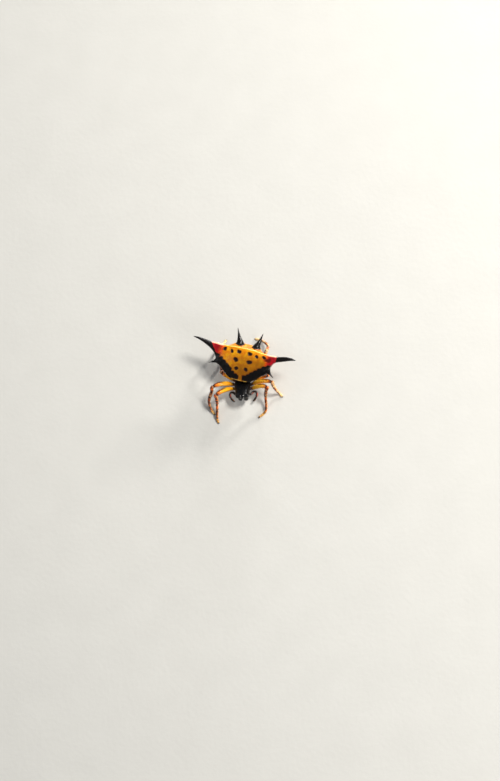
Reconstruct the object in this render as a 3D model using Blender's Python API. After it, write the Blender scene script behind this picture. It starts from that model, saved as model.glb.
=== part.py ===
"""A spiny orb weaver, an adult female at life size, standing on a floor at z = 0.

The spider faces -Y, with +X on its left side and +Z up. The origin is the middle of its
footprint. Sizes are in millimetres and become metres where a mesh is made.
"""

import math

import bmesh
import bpy
import numpy as np

MM = 0.001

# Driving sizes, in millimetres
GAP = 0.3
CARAPACE_AT = (-0.772, -2.752)
CARAPACE_RIM_HEIGHT = 2.50
CORE_HALF_WIDTH = 0.84
CORE_HALF_LENGTH = 1.42
CORE_MIDDLE_Y = 1.08
CORE_TOP = 2.22
COXA_RADIUS = 0.26
EYE_GAP = 0.06
WAIST_AT = (-0.25, 2.10)
ABDOMEN_YAW = 15.6
ABDOMEN_ROLL = 2.5
PLATE_HEIGHT = 5.0
PLATE_MIDDLE = 2.45
PLATE_RISE = 0.37
SPINE_TIP_X = 8.84
SPINE_STRETCH = {"right": 1.10, "left": 0.98}

# How finely the solids are cut
LEG_SIDES = 10
PALP_SIDES = 8
THORN_SIDES = 10
SPINNERET_SIDES = 12
EYE_SIDES, EYE_RINGS = 8, 6
ABDOMEN_SLICES = 66
ABDOMEN_SIDES = 32
CURVE_STEPS = 24
BEND_EASING = 1

BLACK = (0.012, 0.011, 0.013)
ORANGE = (0.83, 0.36, 0.03)
RUST = (0.52, 0.17, 0.03)
DARK_BROWN = (0.06, 0.025, 0.015)


def clear_scene():
    for old in list(bpy.data.objects):
        bpy.data.objects.remove(old)


def smoothstep(low, high, value):
    t = min(max((value - low) / (high - low), 0.0), 1.0)
    return t * t * (3.0 - 2.0 * t)


def mix(a, b, share):
    return a + (b - a) * share


def through(*stations):
    """A smooth function through (position, size) stations, flat past the first and the last."""
    at = np.array([s[0] for s in stations], float)
    size = np.array([s[1] for s in stations], float)
    slope = np.gradient(size, at)

    def value(position):
        p = min(max(position, at[0]), at[-1])
        i = min(int(np.searchsorted(at, p, side="right")) - 1, len(at) - 2)
        span = at[i + 1] - at[i]
        t = (p - at[i]) / span
        rise = size[i + 1] - size[i]
        keep = [
            0.0 if rise * s <= 0 else math.copysign(min(abs(s), 3 * abs(rise) / span), s)
            for s in (slope[i], slope[i + 1])
        ]
        return float(
            size[i] * (1 + 2 * t) * (1 - t) ** 2
            + keep[0] * span * t * (1 - t) ** 2
            + size[i + 1] * t * t * (3 - 2 * t)
            + keep[1] * span * t * t * (t - 1)
        )

    return value


def material(name, colour, roughness):
    made = bpy.data.materials.get(name) or bpy.data.materials.new(name)
    made.use_nodes = True
    shader = made.node_tree.nodes["Principled BSDF"]
    shader.inputs["Base Color"].default_value = (*colour, 1.0)
    shader.inputs["Roughness"].default_value = roughness
    return made


def solid(name, rings, finish, first_tip=None, last_tip=None):
    """One closed object from rings of points in millimetres, each end drawn to a tip point.

    Each four-sided face between two rings is parted along its shorter diagonal.
    """
    mesh = bmesh.new()
    loops = [[mesh.verts.new(np.asarray(p) * MM) for p in ring] for ring in rings]
    for a, b in zip(loops, loops[1:]):
        for i in range(len(a)):
            j = (i + 1) % len(a)
            if (a[i].co - b[j].co).length <= (a[j].co - b[i].co).length:
                mesh.faces.new((a[i], a[j], b[j]))
                mesh.faces.new((a[i], b[j], b[i]))
            else:
                mesh.faces.new((a[i], a[j], b[i]))
                mesh.faces.new((a[j], b[j], b[i]))
    for loop, tip in ((loops[0], first_tip), (loops[-1], last_tip)):
        if tip is None:
            pole = mesh.verts.new(np.mean([np.array(v.co) for v in loop], axis=0))
        else:
            pole = mesh.verts.new(np.asarray(tip) * MM)
        for i in range(len(loop)):
            mesh.faces.new((loop[i], loop[(i + 1) % len(loop)], pole))
    bmesh.ops.recalc_face_normals(mesh, faces=mesh.faces)
    data = bpy.data.meshes.new(name)
    mesh.to_mesh(data)
    mesh.free()
    data.shade_smooth()
    made = bpy.data.objects.new(name, data)
    made.data.materials.append(finish)
    bpy.context.scene.collection.objects.link(made)
    return made


def combined(body, pieces, operation="UNION"):
    """Joins pieces to body, or cuts them from it, and keeps the largest closed surface."""
    group = bpy.data.collections.new(body.name + "_pieces")
    bpy.context.scene.collection.children.link(group)
    for piece in pieces:
        bpy.context.scene.collection.objects.unlink(piece)
        group.objects.link(piece)
    union = body.modifiers.new("combine", "BOOLEAN")
    union.operation = operation
    union.operand_type = "COLLECTION"
    union.collection = group
    union.solver = "EXACT"
    bpy.context.view_layer.update()
    joined = bpy.data.meshes.new_from_object(
        body.evaluated_get(bpy.context.evaluated_depsgraph_get())
    )
    body.modifiers.remove(union)
    body.data = joined
    for piece in pieces:
        bpy.data.objects.remove(piece)
    bpy.data.collections.remove(group)
    keep_largest(body)
    return body


def keep_largest(body):
    mesh = bmesh.new()
    mesh.from_mesh(body.data)
    mesh.verts.ensure_lookup_table()
    left = set(mesh.verts)
    groups = []
    while left:
        found, edge = set(), [next(iter(left))]
        while edge:
            vertex = edge.pop()
            if vertex in found:
                continue
            found.add(vertex)
            edge.extend(e.other_vert(vertex) for e in vertex.link_edges)
        left -= found
        groups.append(found)
    largest = max(groups, key=len)
    spare = [v for group in groups if group is not largest for v in group]
    bmesh.ops.delete(mesh, geom=spare, context="VERTS")
    bmesh.ops.triangulate(mesh, faces=mesh.faces)
    mesh.to_mesh(body.data)
    mesh.free()


def frames_along(path):
    """A unit direction and two unit normals at each point of a path, turned as little as possible.

    The direction is eased over a few points, so that rings don't cross inside a sharp bend.
    """
    ahead = np.gradient(np.asarray(path, float), axis=0)
    ahead /= np.linalg.norm(ahead, axis=1)[:, None]
    for _ in range(BEND_EASING):
        ahead[1:-1] = (ahead[:-2] + 2 * ahead[1:-1] + ahead[2:]) / 4
    ahead /= np.linalg.norm(ahead, axis=1)[:, None]
    start = np.array((0.0, 0.0, 1.0)) if abs(ahead[0][2]) < 0.9 else np.array((0.0, 1.0, 0.0))
    up = start - ahead[0] * (start @ ahead[0])
    frames = []
    for direction in ahead:
        up = up - direction * (up @ direction)
        up /= np.linalg.norm(up)
        frames.append((direction, up, np.cross(direction, up)))
    return frames


def ring(centre, up, side, radius, sides):
    turns = (2 * math.pi * k / sides for k in range(sides))
    return [centre + radius * (math.cos(a) * up + math.sin(a) * side) for a in turns]


def rings_along(path, radii, sides):
    """Round rings about a path."""
    path = np.asarray(path, float)
    frames = frames_along(path)
    return [ring(p, up, side, r, sides) for p, (_, up, side), r in zip(path, frames, radii)]


def curve_through(points, count):
    """Evenly spaced points on a smooth curve through the given points."""
    points = [np.array(p, float) for p in points]
    knots = np.array([2 * points[0] - points[1], *points, 2 * points[-1] - points[-2]])
    fine = []
    for i in range(1, len(knots) - 2):
        a, b, c, d = knots[i - 1 : i + 3]
        for t in np.linspace(0, 1, CURVE_STEPS, endpoint=False):
            bend = (2 * a - 5 * b + 4 * c - d) * t**2 + (3 * b - a - 3 * c + d) * t**3
            fine.append(0.5 * (2 * b + (c - a) * t + bend))
    fine.append(knots[-2])
    fine = np.array(fine)
    along = np.concatenate([[0], np.cumsum(np.linalg.norm(np.diff(fine, axis=0), axis=1))])
    even = np.linspace(0, along[-1], count)
    return np.stack([np.interp(even, along, fine[:, k]) for k in range(3)], axis=1)


def placed(point):
    """A point of the front body, measured from the carapace's middle, in the model's frame."""
    return np.array((point[0] + CARAPACE_AT[0], point[1] + CARAPACE_AT[1], point[2]), float)


def placed_behind(point):
    """A point of the abdomen, measured from the waist along the abdomen's own axis."""
    turn, roll = math.radians(ABDOMEN_YAW), math.radians(ABDOMEN_ROLL)
    x, y, z = point
    x, z = x * math.cos(roll) + (z - PLATE_HEIGHT) * math.sin(roll), z - x * math.sin(roll)
    return placed(
        (
            WAIST_AT[0] + x * math.cos(turn) + y * math.sin(turn),
            WAIST_AT[1] - x * math.sin(turn) + y * math.cos(turn),
            z,
        )
    )


# Abdomen: a broad hard shield, drawn out at each side into a long curved spine, over a belly cone
front_edge = through(
    (0, -0.70), (1.0, -0.69), (1.5, -0.60), (2.0, -0.36), (2.5, -0.03), (3.0, 0.38), (3.5, 0.82),
    (4.0, 1.14), (4.4, 1.42), (4.62, 1.74), (4.8, 2.30), (5.1, 2.76), (5.5, 3.12), (6.0, 3.46),
    (7.0, 3.97), (8.0, 4.34), (8.84, 4.56),
)
crest_edge = through(
    (0, 4.55), (2.0, 4.48), (3.0, 4.42), (4.0, 4.44), (5.0, 4.50), (6.0, 4.66), (7.0, 4.84),
    (8.0, 4.86), (8.84, 4.66),
)
rear_reach = through((0, 1.25), (1.5, 1.22), (2.2, 0.92), (2.8, 0.42), (3.3, 0.10), (4.0, 0.0))
rear_drop = through((0, 1.75), (1.5, 1.70), (2.5, 1.20), (3.3, 0.80), (4.0, 0.62), (5.0, 0.55))
shield_depth = through(
    (0, 1.85), (1.5, 1.60), (2.5, 1.38), (3.5, 1.25), (4.5, 1.14), (5.5, 1.04), (6.0, 0.92),
    (7.0, 0.66), (8.0, 0.36), (8.84, 0.05),
)
front_hollow = through((-0.9, 3.42), (0.0, 3.16), (0.45, 2.95), (0.8, 2.45), (1.3, 1.6), (1.9, 0.9))
spine_height = through(
    (4.5, 4.85), (5.5, 5.02), (6.0, 5.12), (7.0, 5.35), (8.0, 5.48), (8.84, 5.46),
)
# The two sides differ a little: how much further back the left spine's front edge starts, and how
# much slimmer the right spine is behind
front_trim = through((4.1, 0.0), (4.7, 0.40), (5.1, 0.50), (5.6, 0.38), (6.4, 0.15), (7.2, 0.0))
crest_trim = through((5.0, 0.0), (5.8, -0.08), (6.8, -0.16), (8.0, -0.10), (8.84, 0.0))
DOME_RISE = 0.22
DOME_FULL, DOME_EDGE = 1.0, 5.0
NOSE_DROP = 0.30
BELLY_DEPTH = 2.1
BELLY_END = 1.72
BELLY_AT = (0.0, 3.2)
BELLY_HALF = (1.25, 1.40)
BELLY_FALL = 2.2
SPINE_FROM, SPINE_WHOLE = 4.7, 5.8
PLATE_POWER, SPINE_POWER = 3.4, 2.0
REAR_LIFT, REAR_FALL = 0.10, 1.05
CREST_ROUNDING = 0.13
UNDERSIDE_DROP = 0.12
# How far the cuts across the shield are drawn in towards its middle
CUT_SPREAD = 0.25


def plate_height(y):
    return PLATE_HEIGHT + PLATE_RISE * (y - PLATE_MIDDLE)


def belly(x, y):
    """How far the belly cone hangs below the shield."""
    across, along = (x - BELLY_AT[0]) / BELLY_HALF[0], (y - BELLY_AT[1]) / BELLY_HALF[1]
    return BELLY_DEPTH * math.exp(-(abs(across) ** BELLY_FALL) - abs(along) ** BELLY_FALL)


def abdomen_slice(x):
    """The outline of the abdomen at x across it, from the front edge over the top and back."""
    s = abs(x)
    stretch = SPINE_STRETCH["left" if x > 0 else "right"]
    place = math.copysign(min(s, SPINE_FROM) + max(s - SPINE_FROM, 0) * stretch, x)
    spine = smoothstep(SPINE_FROM, SPINE_WHOLE, s)
    front = front_edge(s) + (front_trim(s) if x > 0 else 0)
    crest = crest_edge(s) + (crest_trim(s) if x < 0 else 0)
    rear = crest + rear_reach(s)
    depth, middle = shield_depth(s), spine_height(s)
    nose_z = mix(plate_height(front) - NOSE_DROP, middle, spine)
    rear_z = mix(plate_height(crest) - rear_drop(s), middle, spine)
    power = mix(PLATE_POWER, SPINE_POWER, spine)
    dome = DOME_RISE * (1 - smoothstep(DOME_FULL, DOME_EDGE, s))
    points = []
    for k in range(ABDOMEN_SIDES):
        turn = 2 * math.pi * k / ABDOMEN_SIDES
        share = 0.5 - 0.5 * math.cos(turn)
        y = mix(front, rear, share)
        level = mix(nose_z, rear_z, share)
        rounding = (1 - abs(2 * share - 1) ** power) ** (1 / power)
        if math.sin(turn) >= 0:
            arch = math.sin(math.pi * min(max((y - front) / (crest - front), 0), 1))
            plate = plate_height(y) + dome * arch
            slope = plate_height(crest) + REAR_LIFT - REAR_FALL * (y - crest)
            both = math.exp(-plate / CREST_ROUNDING) + math.exp(-slope / CREST_ROUNDING)
            goal = mix(-CREST_ROUNDING * math.log(both), middle + depth / 2, spine)
        else:
            under = plate_height(min(y, crest)) - depth - belly(x, y)
            under = max(under, front_hollow(y), BELLY_END)
            goal = mix(min(under, level - UNDERSIDE_DROP), middle - depth / 2, spine)
        points.append(placed_behind((place, y, mix(level, goal, rounding))))
    return points


# Thorns: the sunk root and the tip of each, from the waist
THORNS = {
    "front_thorn_right": ((-3.95, 2.00, 4.24), (-5.72, 1.00, 4.42)),
    "front_thorn_left": ((4.05, 2.28, 4.30), (5.70, 1.00, 4.42)),
    "rear_thorn_right": ((-1.12, 5.02, 4.70), (-2.36, 7.92, 5.10)),
    "rear_thorn_left": ((1.50, 5.02, 4.70), (2.12, 7.92, 5.10)),
}
FRONT_THORN_RADII = (0.62, 0.62, 0.52, 0.34, 0.20, 0.12, 0.07, 0.03)
REAR_THORN_RADII = (0.58, 0.64, 0.61, 0.47, 0.36, 0.27, 0.20, 0.14, 0.09, 0.03)
REAR_THORN_SAG = 0.10
TIP_SHARE = 0.2
# Waist stalk: back from the waist, height and radius
STALK = ((0.68, 2.28, 0.26), (0.85, 2.34, 0.30), (1.1, 2.5, 0.38), (1.5, 2.85, 0.45))
BLUNT_TIP = 0.03


def past_end(path):
    """A point a little past a path's last one, where its surface closes."""
    return path[-1] + (path[-1] - path[-2]) * TIP_SHARE


def thorn(name, finish):
    """A hollow-sided thorn from a sunk root to a fine tip."""
    root, tip = (np.array(end) for end in THORNS[name])
    front = name.startswith("front")
    radii = FRONT_THORN_RADII if front else REAR_THORN_RADII
    sag = np.array((0, 0, 0 if front else REAR_THORN_SAG))
    shares = np.linspace(0, 1, len(radii))
    path = [placed_behind(mix(root, tip, t) - sag * math.sin(math.pi * t)) for t in shares]
    return solid(name, rings_along(path, radii, THORN_SIDES), finish, last_tip=past_end(path))


def make_abdomen():
    finish = material("abdomen_shell", ORANGE, 0.35)
    turns = np.linspace(-1, 1, ABDOMEN_SLICES)
    stations = [SPINE_TIP_X * mix(t, t**3, CUT_SPREAD) for t in turns]
    stations[0], stations[-1] = BLUNT_TIP - SPINE_TIP_X, SPINE_TIP_X - BLUNT_TIP
    body = solid("abdomen", [abdomen_slice(x) for x in stations], finish)
    stalk = [placed_behind((0, y, z)) for y, z, _ in STALK]
    waist = solid("waist", rings_along(stalk, [s[2] for s in STALK], THORN_SIDES), finish)
    return combined(body, [thorn(name, finish) for name in THORNS] + [waist])


# Spinnerets: depths below the collar's top, and the four tubes' distances from its middle
COLLAR_DEPTH, TUBE_TOP, TUBE_FOOT = 0.34, 0.12, 0.62
TUBE_AT = (0.19, 0.17)


def make_spinnerets():
    """A low collar under the end of the belly cone, with two pairs of short spinnerets."""
    finish = material("spinnerets", DARK_BROWN, 0.5)
    top = BELLY_END - GAP * 0.75
    x, y = BELLY_AT

    def post(name, across, along, high, low, radii):
        heights = np.linspace(high, low, len(radii))
        path = [placed_behind((across, along, z)) for z in heights]
        return solid(name, rings_along(path, radii, SPINNERET_SIDES), finish)

    collar = post("spinnerets", x, y, top, top - COLLAR_DEPTH, (0.50, 0.56, 0.56, 0.46))
    tubes = []
    for i in (-1, 1):
        for j in (-1, 1):
            at = x + TUBE_AT[0] * i, y + TUBE_AT[1] * j
            ends = top - TUBE_TOP, top - TUBE_FOOT
            tubes.append(post(f"tube_{i}_{j}", *at, *ends, (0.17, 0.17, 0.14, 0.07)))
    return combined(collar, tubes)


# Front body: the carapace over a narrow core, to whose sides the legs' first joints come
carapace_half_width = through(
    (-1.42, 0.55), (-1.30, 0.92), (-1.05, 1.14), (-0.60, 1.22), (-0.10, 1.24), (0.40, 1.35),
    (0.95, 1.40), (1.40, 1.34), (1.85, 1.10), (2.22, 0.76), (2.48, 0.42),
)
carapace_top = through(
    (-1.42, 3.02), (-1.30, 3.25), (-1.05, 3.45), (-0.60, 3.55), (-0.10, 3.50), (0.40, 3.34),
    (0.80, 3.16), (1.30, 2.92), (1.75, 2.74), (2.20, 2.56), (2.48, 2.42),
)
carapace_under = through(
    (-1.42, 2.70), (-1.05, 2.52), (-0.72, 2.46), (-0.42, 1.80), (-0.15, 1.52), (0.35, 1.42),
    (1.20, 1.40), (1.90, 1.42), (2.15, 1.50), (2.32, 1.66), (2.48, 1.86),
)
BACK_OF_FACE, FACE_BLEND = -0.46, 0.08
CORE_END_SHARE = 0.03
HEAD_RIM_LIFT, LIFT_FROM, LIFT_TO = 0.22, -0.4, -1.3
RIM_LIMIT, RIM_LEDGE = 0.75, 0.12
SHELF_WIDTH, SHELF_DROP = 0.14, 0.10
# Over the carapace, and under the face: shares of the half width, and of the way down
OVER = ((0, 0), (0.34, 0.015), (0.64, 0.10), (0.86, 0.32), (0.975, 0.65), (1, 1))
UNDER_FACE = ((0.97, 0.5), (0.86, 0.85), (0.68, 1), (0.46, 1), (0.23, 1))


def core_half_width(y):
    """Half the width of the narrow core under the carapace, an oval in plan."""
    along = (y - CORE_MIDDLE_Y) / CORE_HALF_LENGTH
    return CORE_HALF_WIDTH * math.sqrt(max(1 - along**2, CORE_END_SHARE))


def core_root(angle):
    """A limb's root, a gap clear of the core's wall, with the wall's outward direction."""
    turn = math.radians(angle)
    x, y = math.cos(turn), math.sin(turn)
    wall = np.array((CORE_HALF_WIDTH * x, CORE_MIDDLE_Y + CORE_HALF_LENGTH * y))
    out = np.array((x / CORE_HALF_WIDTH, y / CORE_HALF_LENGTH))
    out /= np.linalg.norm(out)
    return wall + GAP * out, out


def carapace_slice(y):
    """The outline of the front body at y, from the top middle down to the sternum and back up."""
    half, top, under = carapace_half_width(y), carapace_top(y), carapace_under(y)
    lift = HEAD_RIM_LIFT * smoothstep(LIFT_FROM, LIFT_TO, y)
    rim = min(CARAPACE_RIM_HEIGHT + lift, mix(under, top, RIM_LIMIT))
    core = core_half_width(y)
    wall = min(CORE_TOP, rim - RIM_LEDGE)
    upper = [(half * across, mix(top, rim, down)) for across, down in OVER]
    face = [(half * across, mix(rim, under, down)) for across, down in UNDER_FACE]
    body = (
        (min(core + SHELF_WIDTH, half * UNDER_FACE[0][0]), rim - SHELF_DROP),
        (core, wall),
        (core, mix(under, wall, 0.20)),
        (core * 0.84, mix(under, wall, 0.05)),
        (core * 0.45, under),
    )
    behind = smoothstep(BACK_OF_FACE - FACE_BLEND, BACK_OF_FACE + FACE_BLEND, y)
    lower = [(mix(a[0], b[0], behind), mix(a[1], b[1], behind)) for a, b in zip(face, body)]
    outline = [*upper, *lower]
    mirrored = [(-x, z) for x, z in reversed(outline[1:])]
    return [placed((x, y, z)) for x, z in (*outline, (0.0, under), *mirrored)]


# Eyes: half width across, distance forward and height of each pair, with its radius
EYES = {
    "front_middle": (0.20, -1.36, 3.13, 0.15),
    "rear_middle": (0.27, -1.10, 3.40, 0.15),
    "front_side": (0.84, -1.26, 2.94, 0.13),
    "rear_side": (0.99, -1.03, 3.14, 0.13),
}


def bead(name, centre, radius, finish):
    """A ball of a few sides."""
    along, across, up = np.eye(3)
    rings = []
    for k in range(1, EYE_RINGS):
        turn = math.pi * k / EYE_RINGS
        middle = centre + radius * math.cos(turn) * up
        rings.append(ring(middle, along, across, radius * math.sin(turn), EYE_SIDES))
    return solid(name, rings, finish, first_tip=centre + radius * up, last_tip=centre - radius * up)


# Where the front body's outline is cut, from the face back
FRONT_BODY_CUTS = (
    -1.42, -1.34, -1.2, -1.0, -0.82, -0.66, -0.54, -0.46, -0.38, -0.28, -0.15, 0.02,
    0.22, 0.45, 0.7, 0.95, 1.2, 1.45, 1.7, 1.95, 2.15, 2.3, 2.4, 2.48,
)


def make_cephalothorax():
    """The front body, with a shallow cup for each eye, and the eyes."""
    finish = material("carapace_shell", BLACK, 0.3)
    gloss = material("eye", BLACK, 0.1)
    body = solid("cephalothorax", [carapace_slice(y) for y in FRONT_BODY_CUTS], finish)
    cups = []
    for pair, (x, y, z, radius) in EYES.items():
        for side, word in ((-1, "right"), (1, "left")):
            centre = placed((side * x, y, z))
            bead(f"eye_{pair}_{word}", centre, radius, gloss)
            cups.append(bead(f"cup_{pair}_{word}", centre, radius + EYE_GAP, finish))
    return combined(body, cups, "DIFFERENCE")


# Jaws and fangs: how far across, as shares of the jaw's own distance, with y and height
JAW_RADIUS = 0.35
JAW_LINE = (
    (1, -1.06, 2.12), (1, -1.10, 1.9), (1, -1.14, 1.6), (1, -1.13, 1.3), (0.97, -1.08, 1.08),
    (0.95, -1.04, 0.96),
)
JAW_SHAPE = (0.24, 0.33, JAW_RADIUS, JAW_RADIUS, 0.33, 0.29, 0.23, 0.13)
FANG_LINE = ((1.12, -1.04, 1.08), (0.9, -0.96, 0.86), (0.62, -0.86, 0.80))
FANG_SHAPE = (0.14, 0.13, 0.10, 0.07, 0.03)


def make_chelicera(name, side):
    """One of the two jaws, a stout upright drop with its fang folded inward at the foot."""
    finish = material("jaw_shell", BLACK, 0.3)
    across = side * (GAP / 2 + JAW_RADIUS)

    def bar(label, line, radii):
        path = curve_through([placed((across * share, y, z)) for share, y, z in line], len(radii))
        return solid(label, rings_along(path, radii, LEG_SIDES), finish)

    return combined(bar(name, JAW_LINE, JAW_SHAPE), [bar("fang", FANG_LINE, FANG_SHAPE)])


def rooted(path, radii, sides, out):
    """Rings along a path whose first ring lies flat against the wall that faces along out."""
    rings = rings_along(path, radii, sides)
    up = np.array((0.0, 0.0, 1.0))
    rings[0] = ring(path[0], up, np.cross((*out, 0.0), up), radii[0], sides)
    return rings


# Feelers: the root's angle and height, the route from it, and the radius along it
PALP_ANGLE = -56
PALP_ROOT_HEIGHT = 1.72
PALP_ROUTE = (
    (1.22, -0.42, 1.62), (1.72, 0.02, 1.50), (2.12, 0.05, 1.50), (2.30, -0.34, 1.50),
    (2.20, -0.84, 1.35), (1.88, -1.26, 1.10), (1.50, -1.48, 0.90),
)
PALP_RINGS = 20
palp_radius = through(
    (0, 0.17), (0.08, 0.2), (0.16, 0.19), (0.3, 0.22), (0.44, 0.22), (0.5, 0.19), (0.58, 0.22),
    (0.7, 0.21), (0.76, 0.18), (0.86, 0.2), (0.95, 0.15), (1, 0.08),
)


def make_palp(name, side):
    """A feeler beside the jaws: out from under the head, then forward and in to the mouth."""
    finish = material("palp_shell", RUST, 0.45)
    (x, y), out = core_root(PALP_ANGLE)
    route = ((x, y, PALP_ROOT_HEIGHT), *PALP_ROUTE)
    path = curve_through([placed((side * p[0], p[1], p[2])) for p in route], PALP_RINGS)
    radii = [palp_radius(t) for t in np.linspace(0, 1, PALP_RINGS)]
    return solid(name, rooted(path, radii, PALP_SIDES, (side * out[0], out[1])), finish)


# Legs: the knee, the ankle, the foot and the toe of each, from the carapace's middle
ROOT_ANGLE = {1: -22, 2: 2, 3: 25, 4: 51}
ROOT_HEADING = {1: 6, 2: 18, 3: 36, 4: 56}
ROOT_HEIGHT = 1.84
LEGS = {
    "leg_1_right": ((-4.30, -0.85, 3.62), (-4.50, -1.90, 1.55), (-4.67, -4.10), (-4.48, -4.87)),
    "leg_2_right": ((-4.81, 0.63, 3.62), (-5.92, -1.35, 1.55), (-5.68, -2.60), (-5.14, -3.34)),
    "leg_3_right": ((-3.45, 3.27, 2.50), (-3.84, 4.78, 1.30), (-3.75, 5.60), (-3.60, 6.20)),
    "leg_4_right": ((-3.20, 4.60, 2.25), (-4.60, 7.35, 1.80), (-3.75, 8.95), (-3.20, 9.85)),
    "leg_1_left": ((4.29, 0.15, 3.62), (3.84, -1.02, 1.55), (3.72, -3.09), (2.44, -4.17)),
    "leg_2_left": ((5.06, 1.03, 3.70), (5.59, 0.19, 1.80), (6.05, -0.12), (6.49, -0.65)),
    "leg_3_left": ((4.20, 2.45, 2.55), (3.84, 3.94, 1.30), (3.55, 4.90), (3.20, 5.50)),
    "leg_4_left": ((3.10, 4.60, 2.25), (4.28, 7.93, 1.80), (3.01, 9.40), (1.84, 9.88)),
}
COXA_LENGTH = 0.72
HIP_LIFT = 0.10
TOE_HEIGHT = 0.10
FOOT_HEIGHT = 0.42
FEMUR_ARCH = {1: (0, 0.15, 0.36), 2: (0, 0.15, 0.36), 3: (0, 0, 0.16), 4: (0, 0, 0.12)}
KNEE_SHARE, SHIN_ARCH = 0.36, 0.18
# How many pieces each segment's curve is cut into, fewer in the short one past the knee
SEGMENT_STEPS = (4, 4, 2, 4, 4, 4)
# How strongly the curve at a joint follows the line between the joints beside it
JOINT_FLOW = 0.4125
# Radius by joint number: 0 root, 1 hip, 2 knee, 3 knee's end, 4 ankle, 5 foot, 6 toe
leg_radius = through(
    (0, 0.25), (0.35, COXA_RADIUS), (0.7, 0.24), (1.0, 0.28), (1.35, 0.38), (1.7, 0.37),
    (1.93, 0.28), (2.0, 0.26), (2.12, 0.285), (2.5, 0.305), (2.9, 0.275), (3.0, 0.26),
    (3.3, 0.29), (3.7, 0.275), (3.93, 0.235), (4.0, 0.225), (4.2, 0.235), (4.7, 0.22),
    (4.95, 0.195), (5.0, 0.185), (5.3, 0.195), (5.8, 0.17), (6.0, 0.145),
)


def leg_joints(name):
    """The root, hip, knee, knee's end, ankle, foot and toe of a leg."""
    number, side = int(name[4]), 1 if name.endswith("left") else -1
    knee, ankle, foot, toe = LEGS[name]
    knee, ankle = np.array(knee), np.array(ankle)
    foot, toe = np.array((*foot, FOOT_HEIGHT)), np.array((*toe, TOE_HEIGHT))
    heading = math.radians(ROOT_HEADING[number])
    ahead = np.array((side * math.cos(heading), math.sin(heading), 0.0))
    (x, y), _ = core_root(ROOT_ANGLE[number])
    root = np.array((side * x, y, ROOT_HEIGHT))
    hip = root + ahead * COXA_LENGTH + np.array((0, 0, HIP_LIFT))
    shin = mix(knee, ankle, KNEE_SHARE) + np.array((0, 0, SHIN_ARCH))
    return [root, hip, knee, shin, ankle, foot, toe]


def leg_centreline(name):
    """Points along a leg with the joint number that each stands at."""
    joints = leg_joints(name)
    last = len(joints) - 1
    path, numbers = [], []
    knots = [2 * joints[0] - joints[1], *joints, 2 * joints[-1] - joints[-2]]
    for i in range(last):
        a, b, c, d = knots[i : i + 4]
        for t in np.arange(SEGMENT_STEPS[i]) / SEGMENT_STEPS[i]:
            point = (
                b * (1 + 2 * t) * (1 - t) ** 2
                + JOINT_FLOW * (c - a) * t * (1 - t) ** 2
                + c * t * t * (3 - 2 * t)
                + JOINT_FLOW * (d - b) * t * t * (t - 1)
            )
            if i == 1:
                point = point + np.array(FEMUR_ARCH[int(name[4])]) * math.sin(math.pi * t)
            path.append(point)
            numbers.append(i + t)
    return [*path, joints[-1]], [*numbers, last]


def make_leg(name):
    finish = material("leg_shell", RUST, 0.4)
    path, numbers = leg_centreline(name)
    path = [placed(p) for p in path]
    radii = [leg_radius(n) for n in numbers]
    _, out = core_root(ROOT_ANGLE[int(name[4])])
    side = 1 if name.endswith("left") else -1
    rings = rooted(path, radii, LEG_SIDES, (side * out[0], out[1]))
    flat = [[np.array((p[0], p[1], max(p[2], 0.0))) for p in one] for one in rings]
    return solid(name, flat, finish, last_tip=past_end(path))


def main():
    clear_scene()
    make_abdomen()
    make_spinnerets()
    make_cephalothorax()
    for side, word in ((-1, "right"), (1, "left")):
        make_chelicera(f"chelicera_{word}", side)
        make_palp(f"palp_{word}", side)
    for name in LEGS:
        make_leg(name)


main()
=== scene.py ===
"""The looks of a spiny orb weaver, an adult female at life size, standing on a pale floor.

The spider faces -Y, with +X on its left side and +Z up, and the floor is z = 0. Sizes are in
millimetres and become metres where a mesh is made.
"""

import math

import bmesh
import bpy
import numpy as np
from mathutils import Matrix, Vector


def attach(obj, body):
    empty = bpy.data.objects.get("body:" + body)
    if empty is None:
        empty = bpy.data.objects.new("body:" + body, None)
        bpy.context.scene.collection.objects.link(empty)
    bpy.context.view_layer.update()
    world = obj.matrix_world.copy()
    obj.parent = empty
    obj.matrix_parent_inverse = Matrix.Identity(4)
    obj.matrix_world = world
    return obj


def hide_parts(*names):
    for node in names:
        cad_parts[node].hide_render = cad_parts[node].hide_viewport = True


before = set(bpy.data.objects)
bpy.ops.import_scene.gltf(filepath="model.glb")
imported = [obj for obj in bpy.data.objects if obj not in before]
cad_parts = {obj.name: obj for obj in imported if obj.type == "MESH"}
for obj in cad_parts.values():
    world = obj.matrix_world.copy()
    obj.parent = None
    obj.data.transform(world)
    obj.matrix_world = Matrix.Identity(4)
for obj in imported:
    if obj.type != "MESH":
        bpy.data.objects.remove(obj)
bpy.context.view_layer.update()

# Camera. It looks down on the spider's back from a little in front of it and to its left, a long
# lens far off, with the spider as large and as far left of the middle as the photograph has it.
MM = 0.001
PICTURE = (500, 781)
PIXELS_PER_MM = 5.9
CARAPACE_CROWN = np.array((-0.772, -2.752, 3.3))
CROWN_PIXEL = (241.8, 389.5)
TOWARDS_CAMERA = np.array((0.1404, -0.2707, 0.9524))
PICTURE_UP = np.array((0.0395, 0.9626, 0.2678))
LENS, SENSOR, CLIP = 100.0, 36.0, (0.01, 5.0)


def added(name, data):
    """A new object in the scene."""
    made = bpy.data.objects.new(name, data)
    bpy.context.scene.collection.objects.link(made)
    return made


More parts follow.
